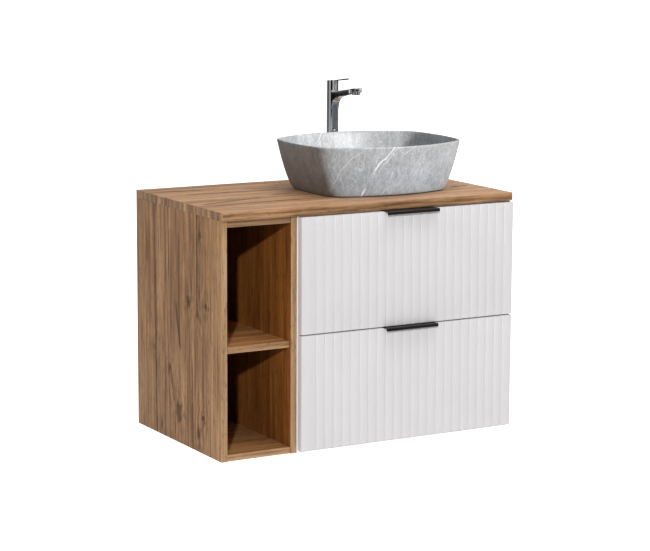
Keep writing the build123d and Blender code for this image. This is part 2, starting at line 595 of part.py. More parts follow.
cap_slope = (CAP_FRONT_H - CAP_BACK_H) / (2 * TAP_R)
blade_z = CAP_FRONT_H + (LEVER_REACH - TAP_R) * cap_slope
cap_face = make_face(
    Polyline(
        (0, TAP_R, PIVOT_H),
        (0, TAP_R, CAP_BACK_H),
        (0, -TAP_R, CAP_FRONT_H),
        (0, -TAP_R, PIVOT_H),
        close=True,
    )
)
cap = extrude(cap_face, TAP_R, dir=(1, 0, 0), both=True) & rod(TAP_R, 0, 0, PIVOT_H, CAP_FRONT_H + 1)
top_edges = [e for e in cap.edges() if e.center().Z > CAP_BACK_H - 1]
cap = fillet(top_edges, 0.8)
blade_face = make_face(
    Polyline(
        (0, 0, CAP_BACK_H - 1),
        (0, -LEVER_REACH, blade_z - LEVER_T),
        (0, -LEVER_REACH, blade_z + 1),
        (0, -LEVER_REACH + 8, blade_z),
        (0, -TAP_R, CAP_FRONT_H - 0.2),
        (0, 0, (CAP_BACK_H + CAP_FRONT_H) / 2 - 0.2),
        close=True,
    )
)
blade = extrude(blade_face, LEVER_W / 2, dir=(1, 0, 0), both=True)
blade = fillet(blade.faces().sort_by(Axis.Y)[0].edges().filter_by(Axis.Z), 2.5)
handle = cap + blade
handle -= pivot * Sphere(DOME_R + DOME_GAP)
socket = box(-STEM_W / 2 - TIGHT, STEM_W / 2 + TIGHT, -STEM_T / 2 - TIGHT, STEM_T / 2 + TIGHT, 10, STEM_TOP)
handle -= pivot * Rot(STEM_TILT, 0, 0) * socket
save("tap_handle", at_tap(handle))

STUD_TOP = SPIGOT_Z + 11
PLATE_TOP = -TOP_T
save("tap_stud", at_tap(rod(STUD_R, 0, STUD_Y, STUD_Z0, STUD_TOP)))
clamp = rod(21, 0, 0, PLATE_TOP - 3, PLATE_TOP)
clamp -= box(-11, 11, -22, 2, PLATE_TOP - 4, PLATE_TOP + 1)
clamp -= rod(STUD_R + 0.3, 0, STUD_Y, PLATE_TOP - 4, PLATE_TOP + 1)
save("tap_clamp_plate", at_tap(clamp))
nut = hex_nut(13, STUD_R + TIGHT, 0, STUD_Y, PLATE_TOP - 9.5, PLATE_TOP - 3)
save("tap_nut", at_tap(nut))
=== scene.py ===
"""Looks of a wall-hung vanity: oak boards, ribbed white drawers, a stone-look vessel basin and a tall mixer.

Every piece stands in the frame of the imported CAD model, in metres: X along the wall, Y = 0 at the wall with
the front towards -Y, and Z = 0 at the underside of the cabinets.
"""

import logging
import math
from dataclasses import dataclass, field
from enum import Enum
from typing import Callable, Iterable, Sequence

import bmesh
import bpy
from mathutils import Matrix, Vector


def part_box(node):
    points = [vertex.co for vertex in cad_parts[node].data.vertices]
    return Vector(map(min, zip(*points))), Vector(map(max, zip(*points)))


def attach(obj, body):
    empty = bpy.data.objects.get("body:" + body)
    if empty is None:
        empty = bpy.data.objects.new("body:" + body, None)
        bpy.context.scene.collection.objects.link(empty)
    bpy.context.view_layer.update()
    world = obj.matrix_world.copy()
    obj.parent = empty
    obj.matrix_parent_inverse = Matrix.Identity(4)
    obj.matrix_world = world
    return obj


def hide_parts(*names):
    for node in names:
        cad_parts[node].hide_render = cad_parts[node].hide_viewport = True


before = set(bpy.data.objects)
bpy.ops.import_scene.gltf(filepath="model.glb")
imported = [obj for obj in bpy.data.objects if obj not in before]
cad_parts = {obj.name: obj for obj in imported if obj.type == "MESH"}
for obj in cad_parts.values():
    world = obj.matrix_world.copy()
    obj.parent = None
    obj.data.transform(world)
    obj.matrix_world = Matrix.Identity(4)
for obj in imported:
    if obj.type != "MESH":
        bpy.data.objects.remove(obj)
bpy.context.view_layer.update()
MM = 0.001
TOUCH = 0.05 * MM  # two places nearer than this are one
log = logging.getLogger("vanity")

Pair = tuple[float, float]
Point = tuple[float, float, float]
Colour = tuple[float, float, float]
Socket = bpy.types.NodeSocket
Test = Callable[[Vector, Vector], bool]


class Grain(Enum):
    """The way the wood fibres run, as the turn that brings them upright."""

    UPRIGHT = (0.0, 0.0, 0.0)
    ALONG_WALL = (0.0, math.pi / 2, 0.0)


class Side(Enum):
    """A face of a board, as the direction it looks in."""

    LEFT = (-1, 0, 0)
    RIGHT = (1, 0, 0)
    FRONT = (0, -1, 0)
    REAR = (0, 1, 0)
    BELOW = (0, 0, -1)
    ABOVE = (0, 0, 1)


# ---------------------------------------------------------------- shading


class Sheet:
    """A node tree being written, with a short call for each kind of node."""

    def __init__(self, tree: bpy.types.NodeTree) -> None:
        """Starts on an empty tree.

        Args:
            tree: The tree of a material, a world or a node group.
        """
        self.tree = tree
        tree.nodes.clear()

    def add(self, kind: str, inputs: dict | None = None, **settings: object) -> bpy.types.Node:
        """Adds a node.

        Args:
            kind: Blender's name of the node's type, without the ShaderNode prefix.
            inputs: Socket name or number to a value or to another node's output.
            settings: Properties set on the node itself.

        Returns:
            The node.
        """
        node = self.tree.nodes.new(kind if kind.startswith("Node") else "ShaderNode" + kind)
        for name, value in settings.items():
            setattr(node, name, value)
        for key, value in (inputs or {}).items():
            self.feed(node.inputs[key], value)
        return node

    def feed(self, socket: Socket, value: object) -> None:
        """Sets a socket to a value, or links an output to it.

        Args:
            socket: The input.
            value: A number, a colour, a vector or another node's output.
        """
        if isinstance(value, bpy.types.NodeSocket):
            self.tree.links.new(value, socket)
        elif isinstance(value, tuple) and len(value) == 3 and socket.type == "RGBA":
            socket.default_value = (*value, 1.0)
        else:
            socket.default_value = value

    def math(
        self, operation: str, a: object, b: object = 0.0, c: object = 0.0, clamp: bool = False
    ) -> Socket:
        """A Math node's result."""
        node = self.add("Math", {0: a, 1: b, 2: c}, operation=operation, use_clamp=clamp)
        return node.outputs[0]

    def ramp(
        self, value: object, low: float, high: float, out: Pair = (0.0, 1.0)
    ) -> Socket:
        """A smooth step from one value to another."""
        names = {"Value": value, "From Min": low, "From Max": high, "To Min": out[0], "To Max": out[1]}
        return self.add("MapRange", names, interpolation_type="SMOOTHSTEP").outputs[0]

    def noise(
        self, vector: Socket, scale: object = 1.0, detail: float = 2.0, rough: float = 0.5, twist: float = 0.0
    ) -> Socket:
        """A Noise texture's value."""
        names = {"Vector": vector, "Scale": scale, "Detail": detail, "Roughness": rough, "Distortion": twist}
        return self.add("TexNoise", names).outputs["Fac"]

    def stretch(
        self, vector: Socket, scale: Point, shift: Point = (0, 0, 0), turn: Point = (0, 0, 0)
    ) -> Socket:
        """A vector turned, scaled and moved by a Mapping node."""
        names = {"Vector": vector, "Scale": scale, "Location": shift, "Rotation": turn}
        return self.add("Mapping", names).outputs[0]

    def blend(self, share: object, a: object, b: object, how: str = "MIX") -> Socket:
        """A mix of two colours.

        Args:
            share: How much of the second colour there is.
            a: The first colour.
            b: The second colour.
            how: Blender's name of the way they mix.

        Returns:
            The mixed colour.
        """
        node = self.add("Mix", data_type="RGBA", blend_type=how)
        for key, value in ((0, share), (6, a), (7, b)):
            self.feed(node.inputs[key], value)
        return node.outputs[2]

    def split(self, vector: Socket) -> tuple[Socket, Socket, Socket]:
        """The X, Y and Z of a vector."""
        node = self.add("SeparateXYZ", {0: vector})
        return node.outputs[0], node.outputs[1], node.outputs[2]

    def place(self) -> Socket:
        """The point's place in the row frame, in metres."""
        return self.add("TexCoord").outputs["Object"]


def effect(
    name: str, takes: dict[str, object], gives: dict[str, str]
) -> tuple[Sheet, bpy.types.Node, bpy.types.Node]:
    """Starts a node group.

    Args:
        name: The group's name.
        takes: Input name to its default: a number, a colour, or None for a vector.
        gives: Output name to "Float" or "Color".

    Returns:
        The sheet to draw on, the group's input node and its output node.
    """
    tree = bpy.data.node_groups.new(name, "ShaderNodeTree")
    for key, value in takes.items():
        kind = "Vector" if value is None else "Color" if isinstance(value, tuple) else "Float"
        socket = tree.interface.new_socket(key, in_out="INPUT", socket_type="NodeSocket" + kind)
        if kind == "Float":
            socket.default_value = value
        elif kind == "Color":
            socket.default_value = (*value, 1.0)
    for key, kind in gives.items():
        tree.interface.new_socket(key, in_out="OUTPUT", socket_type="NodeSocket" + kind)
    sheet = Sheet(tree)
    return sheet, sheet.add("NodeGroupInput"), sheet.add("NodeGroupOutput")


def oak_effect() -> bpy.types.NodeTree:
    """The figure of rough-sawn wild oak, with its fibres along Z.

    Returns:
        A group that takes the place, a warp that knots give, the tones and the amount of each mark, and gives
        the colour, the roughness and the height.
    """
    found = bpy.data.node_groups.get("oak_figure")
    if found:
        return found
    takes = {
        "Place": None, "Warp": 0.0, "Marks": 0.0, "Pale": (0.5, 0.33, 0.2), "Deep": (0.3, 0.18, 0.1),
        "Crack": (0.06, 0.03, 0.015), "Stave": 0.09, "Contrast": 1.0,
    }
    s, given, out = effect("oak_figure", takes, {"Color": "Color", "Roughness": "Float", "Height": "Float"})
    place, warp, marks = given.outputs["Place"], given.outputs["Warp"], given.outputs["Marks"]
    x, y, z = s.split(place)
    across = s.math("ADD", x, y)
    wander = s.math("MULTIPLY", s.noise(s.stretch(place, (6, 6, 1.6)), 1.0, 2), 0.014)
    lane = s.math("DIVIDE", s.math("ADD", across, wander), given.outputs["Stave"])
    tone = s.add("TexWhiteNoise", {"W": s.math("FLOOR", lane)}, noise_dimensions="1D").outputs["Value"]
    edge = s.math("ABSOLUTE", s.math("SUBTRACT", s.math("FRACT", lane), 0.5))
    seam = s.ramp(edge, 0.478, 0.495)
    seam = s.math("MULTIPLY", seam, s.ramp(s.noise(s.stretch(place, (3, 3, 5)), 1.0, 3), 0.42, 0.62))
    # growth rings: level lines of a long soft field, which a knot pushes aside
    growth = s.noise(s.stretch(place, (9, 9, 0.75)), 1.0, 1.5, 0.45, 0.25)
    rings = s.math("ADD", warp, s.math("MULTIPLY", tone, 9.0))
    rings = s.math("ADD", s.math("MULTIPLY", growth, 15.0), rings)
    rings = s.ramp(s.math("PINGPONG", rings, 0.5), 0.02, 0.46)
    broad = s.noise(s.stretch(place, (26, 26, 1.1)), 1.0, 3, 0.55)
    fibre = s.noise(s.stretch(place, (210, 210, 5.5)), 1.0, 3, 0.6)
    fine = s.noise(s.stretch(place, (700, 700, 22)), 1.0, 2, 0.6)
    pores = s.ramp(s.noise(s.stretch(place, (520, 520, 34)), 1.0, 1, 0.4), 0.63, 0.74)
    streak = s.noise(s.stretch(place, (78, 78, 3.2)), 1.0, 3, 0.62, 0.35)
    fleck = s.ramp(s.noise(s.stretch(place, (105, 105, 40)), 1.0, 4, 0.7, 0.3), 0.55, 0.68)
    level = s.math("MULTIPLY", rings, 0.10)
    for part, weight in ((tone, 0.20), (broad, 0.60), (streak, 1.25), (fibre, 0.62), (fine, 0.55)):
        level = s.math("MULTIPLY_ADD", s.math("SUBTRACT", part, 0.5), weight, level)
    level = s.math("SUBTRACT", level, 0.05)
    level = s.math("MULTIPLY_ADD", level, given.outputs["Contrast"], 0.5, clamp=True)
    colour = s.blend(level, given.outputs["Deep"], given.outputs["Pale"])
    dark = s.math("MAXIMUM", s.math("MULTIPLY", seam, 0.62), marks, clamp=True)
    dark = s.math("MAXIMUM", dark, s.math("MULTIPLY", pores, 0.45), clamp=True)
    dark = s.math("MAXIMUM", dark, s.math("MULTIPLY", fleck, 0.40), clamp=True)
    colour = s.blend(dark, colour, given.outputs["Crack"])
    s.feed(out.inputs["Color"], colour)
    rough = s.math("MULTIPLY_ADD", dark, 0.18, s.math("MULTIPLY_ADD", fibre, 0.14, 0.42))
    s.feed(out.inputs["Roughness"], rough)
    height = s.math("SUBTRACT", s.math("MULTIPLY_ADD", fine, 0.35, s.math("MULTIPLY", fibre, 0.65)), dark)
    s.feed(out.inputs["Height"], height)
    return s.tree


def speckle_effect() -> bpy.types.NodeTree:
    """Small unevenness of a coat or a moulding.

    Returns:
        A group that takes the place and the fineness of the grain, and gives a tone, a gloss and an
        orange-peel height.
    """
    found = bpy.data.node_groups.get("coat_unevenness")
    if found:
        return found
    gives = {"Tone": "Float", "Gloss": "Float", "Height": "Float"}
    s, given, out = effect("coat_unevenness", {"Place": None, "Grain": 900.0}, gives)
    place = given.outputs["Place"]
    peel = s.noise(place, given.outputs["Grain"])
    cloud = s.noise(place, 9.0, 4.0)
    smear = s.noise(s.stretch(place, (14, 14, 55)), 1.0, 3, 0.6, 0.4)
    s.feed(out.inputs["Tone"], s.math("MULTIPLY_ADD", peel, 0.3, s.math("MULTIPLY", cloud, 0.7)))
    s.feed(out.inputs["Gloss"], s.math("MULTIPLY_ADD", smear, 0.6, s.math("MULTIPLY", cloud, 0.4)))
    s.feed(out.inputs["Height"], peel)
    return s.tree


class Finish:
    """What every finish shares: a material made once under its own name."""

    name: str

    def draw(self, s: Sheet, shader: bpy.types.Node) -> None:
        """Draws the finish around its shader; each finish has its own way."""
        raise NotImplementedError

    def material(self) -> bpy.types.Material:
        """The finished material.

        Returns:
            The material of this name, drawn the first time it is asked for.
        """
        made = bpy.data.materials.get("fin_" + self.name)
        if made:
            return made
        made = bpy.data.materials.new("fin_" + self.name)
        made.use_nodes = True
        s = Sheet(made.node_tree)
        shader = s.add("BsdfPrincipled")
        out = s.add("OutputMaterial")
        s.feed(out.inputs["Surface"], shader.outputs[0])
        self.draw(s, shader)
        return made


def bump(s: Sheet, shader: bpy.types.Node, height: Socket, depth: float, strength: float = 1.0) -> None:
    """Gives a shader's surface a fine relief of this depth in metres."""
    node = s.add("Bump", {"Height": height, "Distance": depth, "Strength": strength})
    s.feed(shader.inputs["Normal"], node.outputs[0])


@dataclass(frozen=True)
class Knot:
    """A knot in a board: its place across and along the fibres, half width and half length, and darkness."""

    across: float
    along: float
    wide: float
    tall: float
    dark: float = 0.8


@dataclass(frozen=True)
class Crack:
    """A dark split along the fibres, from one height to another, leaning by lean metres on the way."""

    across: float
    low: float
    high: float
    lean: float = 0.0
    width: float = 0.0016
    dark: float = 0.85


@dataclass(frozen=True)
class Oak(Finish):
    """Wild oak decor on board, with its knots and cracks."""

    name: str
    grain: Grain = Grain.UPRIGHT
    shift: Point = (0.0, 0.0, 0.0)
    pale: Colour = (0.56, 0.33, 0.175)
    deep: Colour = (0.215, 0.108, 0.05)
    crack: Colour = (0.06, 0.026, 0.012)
    stave: float = 0.12
    contrast: float = 1.6
    knots: tuple[Knot, ...] = ()
    cracks: tuple[Crack, ...] = ()
    origin: float = 0.0

    def draw(self, s: Sheet, shader: bpy.types.Node) -> None:
        """Draws knots and cracks, and the figure that runs round them.

        Args:
            s: The material's sheet.
            shader: Its Principled shader.
        """
        upright = s.stretch(s.place(), (1, 1, 1), (0, 0, 0), self.grain.value)
        shifted = s.stretch(upright, (1, 1, 1), self.shift)
        x, y, z = s.split(upright)
        across = s.math("ADD", s.math("ADD", x, y), -self.origin)
        warp, marks = self.knot_marks(s, shifted, across, z)
        marks = self.crack_marks(s, shifted, across, z, marks)
        figure = s.add("Group", node_tree=oak_effect())
        values = {
            "Place": shifted, "Warp": warp, "Marks": marks, "Pale": self.pale, "Deep": self.deep,
            "Crack": self.crack, "Stave": self.stave, "Contrast": self.contrast,
        }
        for key, value in values.items():
            s.feed(figure.inputs[key], value)
        s.feed(shader.inputs["Base Color"], figure.outputs["Color"])
        s.feed(shader.inputs["Roughness"], figure.outputs["Roughness"])
        shader.inputs["Specular IOR Level"].default_value = 0.35
        bump(s, shader, figure.outputs["Height"], 0.00035, 0.6)

    def knot_marks(self, s: Sheet, place: Socket, across: Socket, z: Socket) -> tuple[object, object]:
        """Draws each knot's torn dark core and halo.

        Args:
            s: The material's sheet.
            place: The point's place, shifted for the figure.
            across: The way across the fibres, from the board's origin.
            z: The way along the fibres.

        Returns:
            How far the knots push the growth rings aside, and how dark they are.
        """
        edge_noise = s.noise(s.stretch(place, (90, 90, 60)), 1.0, 3)
        rough_edge = s.math("MULTIPLY_ADD", edge_noise, 1.8, -0.9)
        torn = s.ramp(s.noise(s.stretch(place, (120, 120, 48)), 1.0, 3, 0.6, 0.5), 0.47, 0.62)
        warp: object = 0.0
        marks: object = 0.0
        for knot in self.knots:
            u = s.math("MULTIPLY", s.math("SUBTRACT", across, knot.across), 1 / knot.wide)
            v = s.math("MULTIPLY", s.math("SUBTRACT", z, knot.along), 1 / knot.tall)
            r2 = s.math("MULTIPLY_ADD", u, u, s.math("MULTIPLY", v, v))
            swirl = s.math("POWER", 2.718, s.math("MULTIPLY", r2, -0.09))
            warp = s.math("MULTIPLY_ADD", swirl, 1.1, warp)
            core = s.ramp(s.math("ADD", s.math("SQRT", r2), rough_edge), 1.1, 0.3, (0.0, knot.dark))
            halo = s.math("MULTIPLY", s.math("POWER", 2.718, s.math("MULTIPLY", r2, -0.16)), 0.72 * knot.dark)
            marks = s.math("MAXIMUM", marks, s.math("MAXIMUM", core, s.math("MULTIPLY", halo, torn)))
        return warp, marks

    def crack_marks(self, s: Sheet, place: Socket, across: Socket, z: Socket, marks: object) -> object:
        """Adds each crack's hard line and soft edges to the marks.

        Args:
            s: The material's sheet.
            place: The point's place, shifted for the figure.
            across: The way across the fibres, from the board's origin.
            z: The way along the fibres.
            marks: How dark the marks so far are.

        Returns:
            How dark all the marks are.
        """
        wander = s.math("MULTIPLY_ADD", s.noise(s.stretch(place, (3, 3, 14))), 0.008, -0.004)
        for crack in self.cracks:
            rise = s.math("MULTIPLY", s.math("SUBTRACT", z, crack.low), 1 / (crack.high - crack.low))
            line = s.math("SUBTRACT", s.math("ADD", across, wander), crack.across)
            line = s.math("ABSOLUTE", s.math("MULTIPLY_ADD", rise, -crack.lean, line))
            ends = s.math("MULTIPLY", s.ramp(rise, 0.0, 0.14), s.ramp(rise, 1.0, 0.82))
            broken = s.ramp(s.noise(s.stretch(place, (5, 5, 22))), 0.3, 0.5, (0.6, 1.0))
            soft = s.ramp(line, crack.width * 4.5, 0.0, (0.0, 0.45 * crack.dark))
            hard = s.ramp(line, crack.width * 1.3, crack.width * 0.7, (0.0, crack.dark))
            both = s.math("MULTIPLY", s.math("MULTIPLY", ends, broken), s.math("MAXIMUM", soft, hard))
            marks = s.math("MAXIMUM", marks, both)
        return marks


@dataclass(frozen=True)
class Coated(Finish):
    """A lacquer, foil, melamine or moulded plastic of one colour with its unevenness."""

    name: str
    colour: Colour
    shade: Colour
    rough: float = 0.4
    spread: float = 0.1
    peel: float = 0.00004
    grain: float = 900.0
    specular: float = 0.5

    def draw(self, s: Sheet, shader: bpy.types.Node) -> None:
        """Draws the coat.

        Args:
            s: The material's sheet.
            shader: Its Principled shader.
        """
        uneven = s.add("Group", {"Place": s.place(), "Grain": self.grain}, node_tree=speckle_effect())
        mix = s.ramp(uneven.outputs["Tone"], 0.3, 0.7)
        s.feed(shader.inputs["Base Color"], s.blend(mix, self.shade, self.colour))
        low, high = self.rough - self.spread / 2, self.rough + self.spread / 2
        s.feed(shader.inputs["Roughness"], s.ramp(uneven.outputs["Gloss"], 0.3, 0.7, (low, high)))
        shader.inputs["Specular IOR Level"].default_value = self.specular
        bump(s, shader, uneven.outputs["Height"], self.peel)


@dataclass(frozen=True)
class Metal(Finish):
    """Bare or plated metal, with brushing along Y where it has any."""

    name: str
    colour: Colour
    rough: float
    spread: float
    brushed: float = 0.0
    peel: float = 0.000004

    def draw(self, s: Sheet, shader: bpy.types.Node) -> None:
        """Draws the plating, its wiping marks and its brushing.

        Args:
            s: The material's sheet.
            shader: Its Principled shader.
        """
        place = s.place()
        uneven = s.add("Group", {"Place": place, "Grain": 1400.0}, node_tree=speckle_effect())
        lines = s.noise(s.stretch(place, (2400, 30, 2400)), 1.0, 2, 0.6)
        low, high = self.rough - self.spread / 2, self.rough + self.spread / 2
        gloss = s.ramp(uneven.outputs["Gloss"], 0.3, 0.7, (low, high))
        gloss = s.math("MULTIPLY_ADD", s.math("SUBTRACT", lines, 0.5), self.brushed, gloss)
        s.feed(shader.inputs["Roughness"], gloss)
        dim = tuple(0.82 * c for c in self.colour)
        mix = s.ramp(uneven.outputs["Tone"], 0.35, 0.65)
        s.feed(shader.inputs["Base Color"], s.blend(mix, dim, self.colour))
        shader.inputs["Metallic"].default_value = 1.0
        height = s.math("MULTIPLY_ADD", lines, self.brushed * 4, uneven.outputs["Height"])
        bump(s, shader, height, self.peel)


@dataclass(frozen=True)
class Stone(Finish):
    """Satin grey marble glaze with pale veins, fine mottling drawn downwards and small pits."""

    name: str = "stone_grey"
    pale: Colour = (0.345, 0.350, 0.354)
    deep: Colour = (0.190, 0.194, 0.197)
    vein: Colour = (0.80, 0.81, 0.82)
    # a cool tint painted towards the foot, to cancel the warm light that the worktop bounces onto it
    bounce_counter_tint: Colour = (0.89, 0.97, 1.05)
    foot_z: float = 0.5915
    # each vein's place along the foot, width and strength
    courses: tuple[Point, ...] = (
        (0.022, 0.0036, 1.0), (0.034, 0.0018, 0.5), (-0.052, 0.0014, 0.35), (0.072, 0.0014, 0.4),
        (0.128, 0.0012, 0.3),
    )

    def draw(self, s: Sheet, shader: bpy.types.Node) -> None:
        """Draws the mottling, then the veins over it.

        Args:
            s: The material's sheet.
            shader: Its Principled shader.
        """
        place = s.place()
        cloud = s.noise(s.stretch(place, (11, 11, 7)), 1.0, 5, 0.6, 0.6)
        drawn = s.noise(s.stretch(place, (150, 150, 28)), 1.0, 4, 0.62, 0.8)
        fine = s.noise(s.stretch(place, (520, 520, 210)), 1.0, 2, 0.6)
        level = s.math("MULTIPLY_ADD", drawn, 0.75, s.math("MULTIPLY", cloud, 0.55))
        level = s.math("MULTIPLY_ADD", fine, 0.25, level)
        level = s.ramp(level, 0.52, 1.02)
        colour = s.blend(level, self.deep, self.pale)
        # painted light: the colour turns cooler towards the foot, against the warm bounce light from the
        # worktop
        foot = s.ramp(s.split(place)[2], 0.715, 0.59, (0.0, 1.0))
        colour = s.blend(foot, colour, self.bounce_counter_tint, "MULTIPLY")
        speck = s.noise(s.stretch(place, (300, 300, 190)), 1.0, 2, 0.7)
        colour = s.blend(s.ramp(speck, 0.61, 0.74, (0.0, 0.34)), colour, self.vein)
        colour = s.blend(s.ramp(speck, 0.40, 0.28, (0.0, 0.6)), colour, (0.10, 0.10, 0.105))
        colour = s.blend(self.veins(s, place), colour, self.vein)
        s.feed(shader.inputs["Base Color"], colour)
        s.feed(shader.inputs["Roughness"], s.math("MULTIPLY_ADD", drawn, 0.16, 0.36))
        shader.inputs["Specular IOR Level"].default_value = 0.4
        bump(s, shader, s.math("MULTIPLY_ADD", fine, 0.6, s.math("MULTIPLY", drawn, 0.4)), 0.00012, 0.7)

    def veins(self, s: Sheet, place: Socket) -> Socket:
        """The share of vein at each point.

        Args:
            s: The sheet.
            place: The point's place.

        Returns:
            A mask, 1 in the middle of a vein.
        """
        bend = s.add("TexNoise", {"Vector": place, "Scale": 9.0, "Detail": 4.0, "Roughness": 0.6})
        push = s.add("VectorMath", {0: bend.outputs["Color"], 1: (0.5, 0.5, 0.5)}, operation="SUBTRACT")
        push = s.add("VectorMath", {0: push.outputs[0], "Scale": 0.034}, operation="SCALE")
        bent = s.add("VectorMath", {0: place, 1: push.outputs[0]}, operation="ADD").outputs[0]
        x, y, z = s.split(bent)
        rise = s.math("SUBTRACT", z, self.foot_z)
        lean = s.math("MULTIPLY_ADD", s.math("MULTIPLY", rise, rise), 28.0, 0.12)
        course = s.math("SUBTRACT", x, s.math("MULTIPLY", lean, rise))
        total: object = 0.0
        fade = s.ramp(s.noise(s.stretch(place, (16, 16, 16)), 1.0, 3), 0.30, 0.55)
        for start, width, strength in self.courses:
            line = s.math("ABSOLUTE", s.math("SUBTRACT", course, start))
            mark = s.math("MULTIPLY", s.ramp(line, width, 0.0, (0.0, strength)), fade)
            total = s.math("MAXIMUM", total, s.math("MULTIPLY", mark, s.ramp(y, -0.33, -0.39, (0.22, 1.0))))
        web = s.noise(s.stretch(bent, (20, 20, 9)), 1.0, 3, 0.55, 0.4)
        web = s.math("ABSOLUTE", s.math("SUBTRACT", web, 0.5))
        web = s.math("MULTIPLY", s.ramp(web, 0.012, 0.0, (0.0, 0.16)), s.ramp(fade, 0.3, 0.8))
        return s.math("MAXIMUM", total, web, clamp=True)


# ---------------------------------------------------------------- finishes of this object

STONE = Stone()
CHROME = Metal("chrome", (0.80, 0.805, 0.815), 0.07, 0.05)
ZINC = Metal("zinc", (0.62, 0.63, 0.65), 0.34, 0.16, brushed=0.12, peel=0.00002)
WHITE_FRONT = Coated(
    "white_front", (0.655, 0.640, 0.648), (0.632, 0.618, 0.625), 0.36, 0.1, 0.00003, 700.0, 0.45
)
WHITE_BOARD = Coated("white_board", (0.69, 0.685, 0.68), (0.64, 0.64, 0.63), 0.42, 0.1, 0.00006, 1100.0, 0.4)
WHITE_BAND = Coated("white_band", (0.78, 0.775, 0.77), (0.74, 0.735, 0.73), 0.3, 0.08, 0.00003, 600.0, 0.5)
DRAWER_BOARD = Coated(
    "drawer_board", (0.60, 0.60, 0.59), (0.53, 0.53, 0.525), 0.46, 0.12, 0.00007, 1100.0, 0.4
)
BOX_BAND = Coated("drawer_band", (0.64, 0.64, 0.635), (0.60, 0.60, 0.595), 0.32, 0.08, 0.00003, 600.0, 0.5)
BLACK_COAT = Coated(
    "black_coat", (0.014, 0.0122, 0.011), (0.008, 0.007, 0.0065), 0.36, 0.14, 0.00006, 1500.0, 0.27
)
SEAL = Coated("black_seal", (0.05, 0.05, 0.05), (0.03, 0.03, 0.03), 0.62, 0.15, 0.00008, 1200.0, 0.4)
GUARD = Coated("grey_plastic", (0.55, 0.56, 0.57), (0.49, 0.50, 0.51), 0.44, 0.12, 0.0001, 800.0, 0.45)
CARTRIDGE = Coated("ivory_plastic", (0.74, 0.73, 0.68), (0.66, 0.65, 0.60), 0.35, 0.1, 0.00004, 900.0, 0.5)
AERATOR_MESH = Coated(
    "aerator_mesh", (0.20, 0.20, 0.21), (0.05, 0.05, 0.05), 0.4, 0.2, 0.0004, 1800.0, 0.5
)
BEECH = Oak(
    "beech", Grain.ALONG_WALL, (3.1, 0.7, 0.2), (0.74, 0.56, 0.37), (0.60, 0.43, 0.26),
    stave=0.5, contrast=0.5,
)

PANEL_KNOTS = (
    Knot(-0.338, 0.333, 0.009, 0.015), Knot(-0.382, 0.358, 0.012, 0.011),
    Knot(-0.290, 0.357, 0.013, 0.016, 0.8), Knot(-0.345, 0.385, 0.006, 0.03, 0.6),
    Knot(-0.186, 0.178, 0.011, 0.014), Knot(-0.235, 0.077, 0.022, 0.034, 0.75),
    Knot(-0.365, 0.087, 0.012, 0.011), Knot(-0.137, 0.026, 0.008, 0.012, 0.7),
    Knot(-0.340, 0.045, 0.012, 0.020, 0.75), Knot(-0.349, 0.522, 0.014, 0.014, 0.6),
    Knot(-0.10, 0.215, 0.010, 0.012, 0.5), Knot(-0.15, 0.225, 0.014, 0.022, 0.35),
)
PANEL_CRACKS = (
    Crack(-0.112, -0.1, 0.7, 0.014, 0.0026, 0.75), Crack(-0.180, 0.38, 0.66, 0.0, 0.0022, 0.65),
    Crack(-0.334, 0.30, 0.66, -0.002, 0.0028, 0.95), Crack(-0.246, 0.225, 0.355, 0.030, 0.0034, 0.8),
    Crack(-0.212, 0.09, 0.19, 0.026, 0.0042, 0.65), Crack(-0.312, -0.06, 0.24, 0.004, 0.0022, 0.75),
)
TOP_KNOTS = (
    Knot(-0.146, 0.225, 0.012, 0.016, 0.7), Knot(-0.268, 0.205, 0.012, 0.014, 0.6),
    Knot(-0.31, -0.345, 0.012, 0.018, 0.7),
)
TOP_LINES = (  # from x, y to x, y
    (-0.380, -0.065, -0.251, -0.087), (-0.176, -0.115, -0.056, -0.119), (-0.366, -0.140, -0.076, -0.155),
    (-0.391, -0.321, -0.203, -0.269), (-0.381, -0.347, -0.143, -0.333), (-0.153, -0.239, -0.079, -0.225),
    (-0.207, -0.339, -0.118, -0.335), (0.310, -0.318, 0.383, -0.300),
)
LINE_WIDTH, LINE_DARK = 0.0036, 0.75
TOP_CRACKS = tuple(Crack(y1, -x1, -x0, y0 - y1, LINE_WIDTH, LINE_DARK) for x0, y0, x1, y1 in TOP_LINES)

OUTER = {"pale": (0.57, 0.325, 0.160), "deep": (0.19, 0.088, 0.034)}
# painted shade: darker, more saturated oak tones for the faces inside the open unit's compartments and under
# its boards, where the shade falls
INSIDE_PAINTED_SHADE = {"pale": (0.36, 0.135, 0.026), "deep": (0.13, 0.040, 0.006), "crack": (0.02, 0.006, 0.002)}
# painted light: a brighter, warmer copy of the oak for the shelf, where the key light falls into the
# compartment
LIT = {"pale": (0.84, 0.41, 0.142), "deep": (0.28, 0.12, 0.038)}
TOP = {"pale": (0.66, 0.39, 0.22), "deep": (0.28, 0.145, 0.072)}
NOSE = {"pale": (0.45, 0.250, 0.120), "deep": (0.145, 0.066, 0.024)}
OAK_PANEL = Oak(
    "oak_side_panel", Grain.UPRIGHT, (0.4, 0.0, 0.0), **OUTER,
    knots=PANEL_KNOTS, cracks=PANEL_CRACKS, origin=-0.4,
)
OAK_PLAIN = Oak("oak_board", Grain.ALONG_WALL, (0.2, 3.3, 0.1), **OUTER)
OAK_BAND = Oak(
    "oak_band_upright", Grain.UPRIGHT, (5.2, 0.4, 2.1), (0.53, 0.335, 0.175), (0.25, 0.14, 0.06), contrast=1.2
)
OAK_BAND_FLAT = Oak(
    "oak_band_level", Grain.ALONG_WALL, (2.2, 0.4, 4.1), (0.60, 0.36, 0.19), (0.26, 0.135, 0.062),
    contrast=1.3,
)
